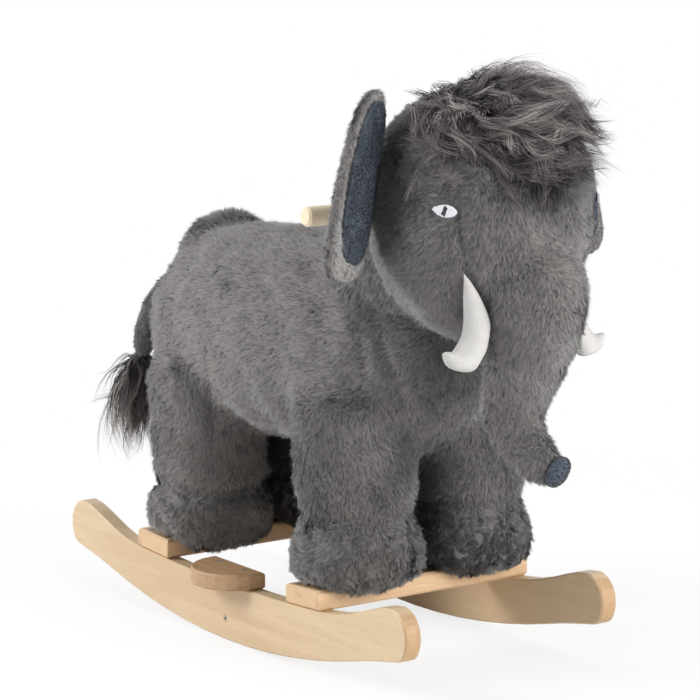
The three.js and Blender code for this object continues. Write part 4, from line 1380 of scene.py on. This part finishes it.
@dataclass
class Trimmings:
    """The tusks, the eyes and the pad at the trunk's tip."""

    finishes: Finishes
    eye_slant: float = 13.0
    eye_proud: float = 0.0022
    slit_lean: float = 30.0
    slit: Place = (0.0038, 0.003, 0.009)
    slit_bevel: float = 0.3
    eye_voxel: float = 0.0005
    pad_voxel: float = 0.0015
    nap: Pile = field(
        default_factory=lambda: Pile(
            length=0.0018, width=0.0006, density=1500000, lift=0.5, stray=0.2, lock=0.02, gather=0.0,
            sink=0.0006, lean=0.05, fleck=0.3, mottle=0.16,
        )
    )

    def build(self) -> None:
        """Makes each of them."""
        for side in SIDES:
            self.tusk(side)
            self.eye(side)
            self.slit_bar(side)
        self.pad()

    def tusk(self, side: str) -> None:
        """A stuffed tusk that leaves its seam in a point."""
        mesh = mesh_of(tusk_form(side))
        piece = finished(f"tusk_{side}_cover", mesh, self.finishes["tusk"], Body.TOY)
        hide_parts(f"tusk_{side}")

    def eye(self, side: str) -> None:
        """An embroidered eye, the left one mirrored from the right."""
        low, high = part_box(f"eye_{side}")
        middle = (low + high) / 2
        form = remeshed(merged("eye_right"), self.eye_voxel)
        if side == "left":
            bmesh.ops.scale(form, verts=form.verts, vec=(1, -1, 1))
            bmesh.ops.reverse_faces(form, faces=form.faces)
        soothed(form, 2)
        bmesh.ops.rotate(form, verts=form.verts, cent=middle, matrix=self.lean(side, self.eye_slant))
        bmesh.ops.translate(form, verts=form.verts, vec=self.outward(side) * self.eye_proud)
        mesh = mesh_of(form)
        self.mark_edge(mesh, middle, (high - low).length / 2, (high.z - low.z) / 2)
        piece = finished(f"eye_{side}_stitches", mesh, self.finishes["eye"], Body.TOY)
        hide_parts(f"eye_{side}")

    def slit_bar(self, side: str) -> None:
        """The eye's slit, as a short slanting bar of stitches."""
        bar = bmesh.new()
        bmesh.ops.create_cube(bar, size=1)
        bmesh.ops.scale(bar, verts=bar.verts, vec=self.slit)
        bmesh.ops.bevel(
            bar, geom=bar.edges, offset=self.slit[0] * self.slit_bevel, segments=3, affect="EDGES",
            profile=0.5, material=-1,
        )
        facing = self.outward(side).to_track_quat("Y", "Z").to_matrix()
        for turn in (facing, self.lean(side, self.slit_lean)):
            bmesh.ops.rotate(bar, verts=bar.verts, cent=(0, 0, 0), matrix=turn)
        place = middle_of(f"pupil_{side}") + self.outward(side) * self.eye_proud
        bmesh.ops.translate(bar, verts=bar.verts, vec=place)
        mesh = mesh_of(bar)
        piece = finished(f"pupil_{side}_stitches", mesh, self.finishes["pupil"], Body.TOY)
        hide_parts(f"pupil_{side}")

    @staticmethod
    def outward(side: str) -> Vector:
        """The way that an eye looks."""
        return Vector((0.57, 0.82 * OUTWARD[side], 0.0)).normalized()

    def lean(self, side: str, degrees: float) -> Matrix:
        """A turn about the way that an eye looks, the same one on both sides when mirrored."""
        return Matrix.Rotation(math.radians(degrees) * OUTWARD[side], 3, self.outward(side))

    @staticmethod
    def mark_edge(mesh: Mesh, middle: Vector, half_long: float, half_high: float) -> None:
        """Marks how far each corner lies towards the eye's rim."""
        away = np.array([vert.co - middle for vert in mesh.vertices])
        level = np.linalg.norm(away[:, :2], axis=1) / half_long
        share = np.sqrt(level ** 2 + (away[:, 2] / half_high) ** 2)
        mesh.attributes.new("edge", "FLOAT", "POINT").data.foreach_set("value", share.astype(np.float32))

    def pad(self) -> None:
        """The velvet pad at the trunk's tip."""
        form = remeshed(merged("trunk_pad"), self.pad_voxel)
        soothed(form, 3)
        mesh = mesh_of(form)
        pile = self.nap.mesh(scattered(mesh, self.nap.density, 70), combed(0.0, 0.0, -1.0), 71)
        piece = finished("trunk_pad_velvet", mesh, self.finishes["velvet"], Body.TOY)
        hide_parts("trunk_pad")
        finished("trunk_pad_nap", pile, self.finishes["velvet_pile"], Body.TOY)


@dataclass
class Hairdo:
    """Long hair: locks that leave a base, follow a flow and curl, each of many thin strands."""

    finishes: Finishes
    node: str
    body: Body
    finish: Material
    lock_count: int
    strands: int
    length: float
    width: float
    rise: float
    curl: float
    drop: float
    spread: float
    flow: Comb
    core: Place
    about: Place
    seed: int
    under: Pile
    facing: float = 0.3
    dim: float = 0.0
    layers: int = 1
    rows: int = 8
    hug: float = 0.9
    past: float = 0.02
    over: float = 0.007
    root_share: float = 1.0
    swept_end: float = 0.0
    root_density: float = 500000
    base_voxel: float = 0.004
    base_lumps: float = 0.003
    lengths: tuple[float, float] = (0.55, 1.25)
    turns: tuple[float, float] = (0.4, 1.3)
    curl_widths: tuple[float, float] = (0.5, 1.9)
    heading_jitter: float = 0.3
    strand_lengths: tuple[float, float] = (0.62, 1.0)
    strand_widths: tuple[float, float] = (0.6, 1.3)
    narrowing: float = 0.62
    wander: float = 1.1
    lit_jitter: float = 0.35
    across_jitter: float = 0.6
    lock_tone: float = 0.3
    strand_tone: float = 0.14
    dim_from: float = 0.35

    def build(self) -> None:
        """Makes the base, the short hair under the locks and the locks."""
        base = remeshed(merged(self.node), self.base_voxel)
        soothed(base, 5)
        drawn_in(base, 0.0, self.base_lumps, self.seed)
        self.shrink(base)
        mesh = mesh_of(base)
        ground = scattered(mesh, self.root_density, self.seed + 1)
        low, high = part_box(self.node)
        away = ground.points - np.array(self.still())
        free = np.sum(ground.normals * away, axis=1) > self.facing * np.linalg.norm(away, axis=1)
        ground = ground.kept(free & (ground.points[:, 2] > high.z - (high.z - low.z) * self.root_share))
        name, seed = f"{self.node}_under", self.seed + 9
        under = Coat(name, self.under, self.flow, self.finish, "long_hair", self.body, seed)
        under.grow(scattered(mesh, self.under.density, self.seed + 8))
        piece = finished(f"{self.node}_base", mesh, self.finishes["scalp"], self.body)
        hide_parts(self.node)
        for layer in range(self.layers):
            grown = self.locks(ground, self.seed + 2 + layer)
            finished(f"{self.node}_locks_{layer + 1}", grown, self.finish, self.body)

    def still(self) -> Vector:
        """The point that the base is drawn in towards."""
        corners = zip(*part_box(self.node), self.about)
        return Vector([(low + high + share * (high - low)) / 2 for low, high, share in corners])

    def shrink(self, base: BMesh) -> None:
        """Draws the base in towards one point, which leaves room for the hair."""
        still = self.still()
        bmesh.ops.translate(base, verts=base.verts, vec=-still)
        bmesh.ops.scale(base, verts=base.verts, vec=self.core)
        bmesh.ops.translate(base, verts=base.verts, vec=still)
        base.normal_update()

    def locks(self, ground: Ground, seed: int) -> Mesh:
        """Grows one layer of locks.

        Args:
            ground: The places that a lock may leave from.
            seed: Which layer it is.

        Returns:
            The mesh of all strands.
        """
        rng = np.random.default_rng(seed)
        picked = rng.choice(len(ground.points), self.lock_count, replace=False)
        roots, normals = ground.points[picked], ground.normals[picked]
        reach = self.length * rng.uniform(*self.lengths, self.lock_count) * self.shortening(roots)
        phase = rng.uniform(0, 2 * math.pi, self.lock_count)
        turns = rng.uniform(*self.turns, self.lock_count)
        heading = unit(self.flow(roots, normals) + rng.normal(size=roots.shape) * self.heading_jitter)
        aside = unit(np.cross(heading, normals) + 1e-4) * rng.uniform(*self.curl_widths, (self.lock_count, 1))
        for _ in range(5):
            guide = self.guides(roots, normals, heading, aside, reach, phase, turns)
            less = np.where(self.leaves(guide), 0.8, 1.0)
            reach, turns = reach * less, turns * less
        return self.fill(guide, normals, aside, rng)

    def shortening(self, roots: Array) -> Array:
        """How long the hair is at each root: less at the end that it is swept to."""
        across = swept_share(self.node, roots)
        return 1 - self.swept_end * np.clip(across + 0.1, 0, 1)

    def leaves(self, guide: Array) -> Array:
        """Whether each guide passes the room that the hair has."""
        low, high = (np.array(corner) for corner in CAD_BOX)
        slack = (high - low) * self.past + self.over
        return np.any((guide < low - slack) | (guide > high + slack), axis=(1, 2))

    def guides(
        self, roots: Array, normals: Array, heading: Array, aside: Array,
        reach: Array, phase: Array, turns: Array,
    ) -> Array:
        """The lines that the locks follow.

        Args:
            roots: Where each lock leaves.
            normals: The surface's way out there.
            heading: Where each lock tends to.
            aside: Across the heading.
            reach: Each lock's length.
            phase: Where each curl starts.
            turns: How many turns each curl makes.

        Returns:
            The places along each line.
        """
        low, high = (np.array(corner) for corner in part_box(self.node))
        middle, half = (low + high) / 2, (high - low) / 2
        place, line = roots.copy(), []
        for row in range(self.rows):
            share = row / (self.rows - 1)
            line.append(place.copy())
            angle = phase + turns * 2 * math.pi * share
            curl = aside * np.cos(angle)[:, None] + normals * np.sin(angle)[:, None] * 0.5
            out = unit((place - middle) / half ** 2)
            away = np.clip(np.sum(heading * out, axis=1, keepdims=True), 0, None)
            along = unit(heading - out * away * self.hug)
            way = normals * self.rise * (1 - share) ** 1.5 + along * (0.35 + 0.65 * min(1, share * 2))
            way = way + curl * self.curl * (0.4 + share) - np.array([0, 0, self.drop]) * share ** 1.3
            place = place + unit(way) * (reach / (self.rows - 1))[:, None]
        return np.stack(line, 1)

    def fill(self, guide: Array, normals: Array, aside: Array, rng: np.random.Generator) -> Mesh:
        """Fills each lock's guide with strands.

        Args:
            guide: The line of each lock.
            normals: The surface's way out at its root.
            aside: Across its heading.
            rng: The draws of this layer.

        Returns:
            The mesh of all strands.
        """
        count = self.lock_count * self.strands
        share = np.linspace(0, 1, self.rows)
        narrow = (1 - self.narrowing * share ** 0.8)[:, None]
        each = (self.lock_count, self.strands, 1)
        offset = rng.normal(size=(*each, 3)) * self.spread
        wander = rng.normal(size=(*each, 3)) * self.spread * self.wander
        paths = guide[:, None] + offset * narrow + wander * (share ** 2.2)[:, None]
        start = paths[:, :, :1]
        paths = start + (paths - start) * rng.uniform(*self.strand_lengths, (*each, 1))
        paths = paths.reshape(count, self.rows, 3)
        lit = np.repeat(normals, self.strands, axis=0) + rng.normal(size=(count, 3)) * self.lit_jitter
        across = np.repeat(aside, self.strands, axis=0) + rng.normal(size=(count, 3)) * self.across_jitter
        # Painted shade: locks that leave lower on the base are darker, by dim.
        low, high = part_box(self.node)
        below = np.clip((high.z - guide[:, 0, 2]) / (high.z - low.z) - self.dim_from, 0, 1)
        tone = rng.normal(size=self.lock_count) * self.lock_tone - self.dim * below
        tone = np.repeat(tone, self.strands) + rng.normal(size=count) * self.strand_tone
        width = self.width * rng.uniform(*self.strand_widths, count)
        return strand_mesh(paths, unit(across), width, lit, tone)


@dataclass
class Studio:
    """The camera, the lights and the pale floor."""

    spot: Place = (2.5741, -1.7962, 0.8382)
    aim: Place = (0.04015, 0.0, 0.3067)
    lens: float = 151.73
    surround: float = 0.45
    floor_size: float = 20.0
    floor_gap: float = 0.0005

    def build(self) -> None:
        """Sets up everything that isn't the toy."""
        self.camera()
        self.world()
        self.lamps()
        self.floor()
        bpy.context.scene.view_settings.view_transform = "Standard"

    def camera(self) -> None:
        """The camera at the photograph's place."""
        data = bpy.data.cameras.new("camera")
        data.lens = self.lens
        data.sensor_width = 36.0
        data.clip_end = 60.0
        camera = bpy.data.objects.new("camera", data)
        shift = Vector((middle_x(), 0, 0))
        camera.location = Vector(self.spot) + shift
        camera.rotation_euler = (Vector(self.aim) - Vector(self.spot)).to_track_quat("-Z", "Y").to_euler()
        bpy.context.scene.collection.objects.link(camera)
        bpy.context.scene.camera = camera

    def world(self) -> None:
        """A white surround that the camera sees at full strength and the toy at a lower one."""
        world = bpy.data.worlds.new("studio")
        world.use_nodes = True
        nodes = Nodes(world.node_tree)
        seen = nodes.add("ShaderNodeBackground", {"Color": (1, 1, 1, 1)})
        fill = nodes.add("ShaderNodeBackground", {"Color": (0.97, 0.985, 1, 1), "Strength": self.surround})
        path = nodes.add("ShaderNodeLightPath")
        either = nodes.after(path, "Is Camera Ray", "ShaderNodeMath", operation="MAXIMUM")
        nodes.join(path, "Is Glossy Ray", either, 1)
        mix = nodes.after(either, 0, "ShaderNodeMixShader")
        nodes.join(fill, 0, mix, 1)
        nodes.join(seen, 0, mix, 2)
        nodes.after(mix, 0, "ShaderNodeOutputWorld")
        bpy.context.scene.world = world

    def lamps(self) -> None:
        """A soft key from the upper left, a weaker fill from the right and a faint one from above."""
        aim = Vector(self.aim) + Vector((middle_x(), 0, 0))
        for name, place, size, power in (
            ("key", (-2.15, -2.78, 2.07), 1.5, 111.0),
            ("fill", (2.7, 0.6, 1.2), 1.6, 70.0),
            ("top", (-0.4, 0.2, 2.8), 2.0, 16.0),
        ):
            data = bpy.data.lights.new(name, "AREA")
            data.size = size
            data.energy = power
            lamp = bpy.data.objects.new(name, data)
            lamp.location = place
            lamp.rotation_euler = (aim - Vector(place)).to_track_quat("-Z", "Y").to_euler()
            bpy.context.scene.collection.objects.link(lamp)

    def floor(self) -> None:
        """A pale floor that goes to white and keeps a faint shadow."""
        sheet = NodeSheet("pale_floor")
        grime = sheet.noise(sheet.places(), 3.0)
        sheet.colour(sheet.ramp(grime, "Fac", [(0.0, (0.9, 0.9, 0.9)), (1.0, (0.93, 0.93, 0.93))]))
        sheet.set(Roughness=0.9)
        glow = sheet.add("ShaderNodeEmission", {"Color": (1, 1, 1, 1), "Strength": 1.0})
        away = sheet.after(sheet.places(), "Vector", "ShaderNodeVectorMath", operation="LENGTH")
        span = {"From Min": 0.4, "From Max": 1.1, "To Min": 0.78, "To Max": 1.0}
        fade = sheet.after(away, "Value", "ShaderNodeMapRange", "Value", span)
        path = sheet.add("ShaderNodeLightPath")
        share = sheet.after(path, "Is Camera Ray", "ShaderNodeMath", operation="MULTIPLY")
        sheet.join(fade, 0, share, 1)
        mix = sheet.after(share, 0, "ShaderNodeMixShader")
        sheet.join(sheet.shader, 0, mix, 1)
        sheet.join(glow, 0, mix, 2)
        sheet.join(mix, 0, sheet.output, 0)
        plane = bmesh.new()
        bmesh.ops.create_grid(plane, x_segments=2, y_segments=2, size=self.floor_size)
        bmesh.ops.translate(plane, verts=plane.verts, vec=(0, 0, -self.floor_gap))
        mesh = mesh_of(plane)
        mesh.materials.append(sheet.material)
        floor = bpy.data.objects.new("floor", mesh)
        bpy.context.scene.collection.objects.link(floor)


def swept_share(node: str, points: Array) -> Array:
    """How far each point lies along the hair's sweep, from -1 to 1 over a node's size."""
    return (points - np.array(middle_of(node))) @ SWEEP / (np.array(half_of(node)) @ SWEEP)


def crown_flow(points: Array, normals: Array) -> Array:
    """The crown's hair: swept from the near rear to the far front, and hanging at its lower edge."""
    across = swept_share("hair", points)
    height = (points[:, 2] - middle_of("hair").z) / half_of("hair").z
    hang = np.clip(0.3 - height, 0, 1)
    left = np.clip(-across - 0.05, 0, 1) * np.clip(1.3 - height, 0, 1)
    upright = np.clip(-across, 0, 1) * np.clip(height, 0, 1)
    fall = 0.15 - 1.4 * np.clip(across + 0.2, 0, 1.4) - 0.9 * hang - 2.6 * left + 1.8 * upright
    flow = SWEEP * (0.95 - 0.5 * hang - 1.5 * left)[:, None] + np.array([0.25, -0.17, 0.0])
    flow = flow + np.array([0, 0, 1.0]) * fall[:, None]
    return flow + ripple(points, 0.045, 90) * (0.85, 0.85, 0.45)


def tuft_flow(points: Array, normals: Array) -> Array:
    """The tuft's hair: down, fanned out towards the near rear."""
    aside = -swept_share("tail_tuft", points)
    fan = -SWEEP * (0.3 + 0.6 * aside)[:, None] + np.array([0, 0, -1.0])
    return fan + ripple(points, 0.012, 91) * 0.4


def main() -> None:
    """Builds the sub-assemblies in order."""
    logging.basicConfig(level=logging.INFO, format="%(message)s")
    Studio().build()
    finishes = {key: finish.material() for key, finish in FINISHES.items()}
    Woodwork(finishes).dress()
    Hide(finishes).build()
    Stuffed(
        finishes, "tail", Body.TAIL, combed(-0.2, 0.0, -1.0), Pile(length=0.0055),
        voxel=0.003, room=0.001, rounds=3, seed=160,
    ).build()
    Ear(finishes, "right", Body.EAR_RIGHT).build()
    Ear(finishes, "left", Body.EAR_LEFT, pile=Pile(length=0.004, lift=0.25)).build()
    Trimmings(finishes).build()
    Hairdo(
        finishes, "hair", Body.TOY, finishes["hair"], lock_count=420, strands=28, layers=2, seed=200,
        length=0.088, width=0.00036, rise=0.38, curl=0.72, drop=0.25, spread=0.0024, flow=crown_flow,
        core=(0.81, 0.81, 0.77), about=(-0.4, -0.4, -1.1), swept_end=0.5, dim=0.75,
        under=Pile(
            length=0.03, width=0.0005, density=160000, lift=0.15, lock=0.011, gather=0.5, swirl=0.8, rows=4,
        ),
    ).build()
    Hairdo(
        finishes, "tail_tuft", Body.TAIL, finishes["tuft"], lock_count=120, strands=15, seed=220,
        length=0.105, width=0.00042, rise=0.12, curl=0.3, drop=0.1, spread=0.0017, flow=tuft_flow,
        core=(0.5, 0.5, 0.85), about=(0.6, 0.3, 1.15), root_share=0.3, facing=-1.0,
        under=Pile(length=0.022, width=0.0005, density=110000, lift=0.2, lock=0.011, gather=0.5, rows=4),
    ).build()


if __name__ == "__main__":
    main()
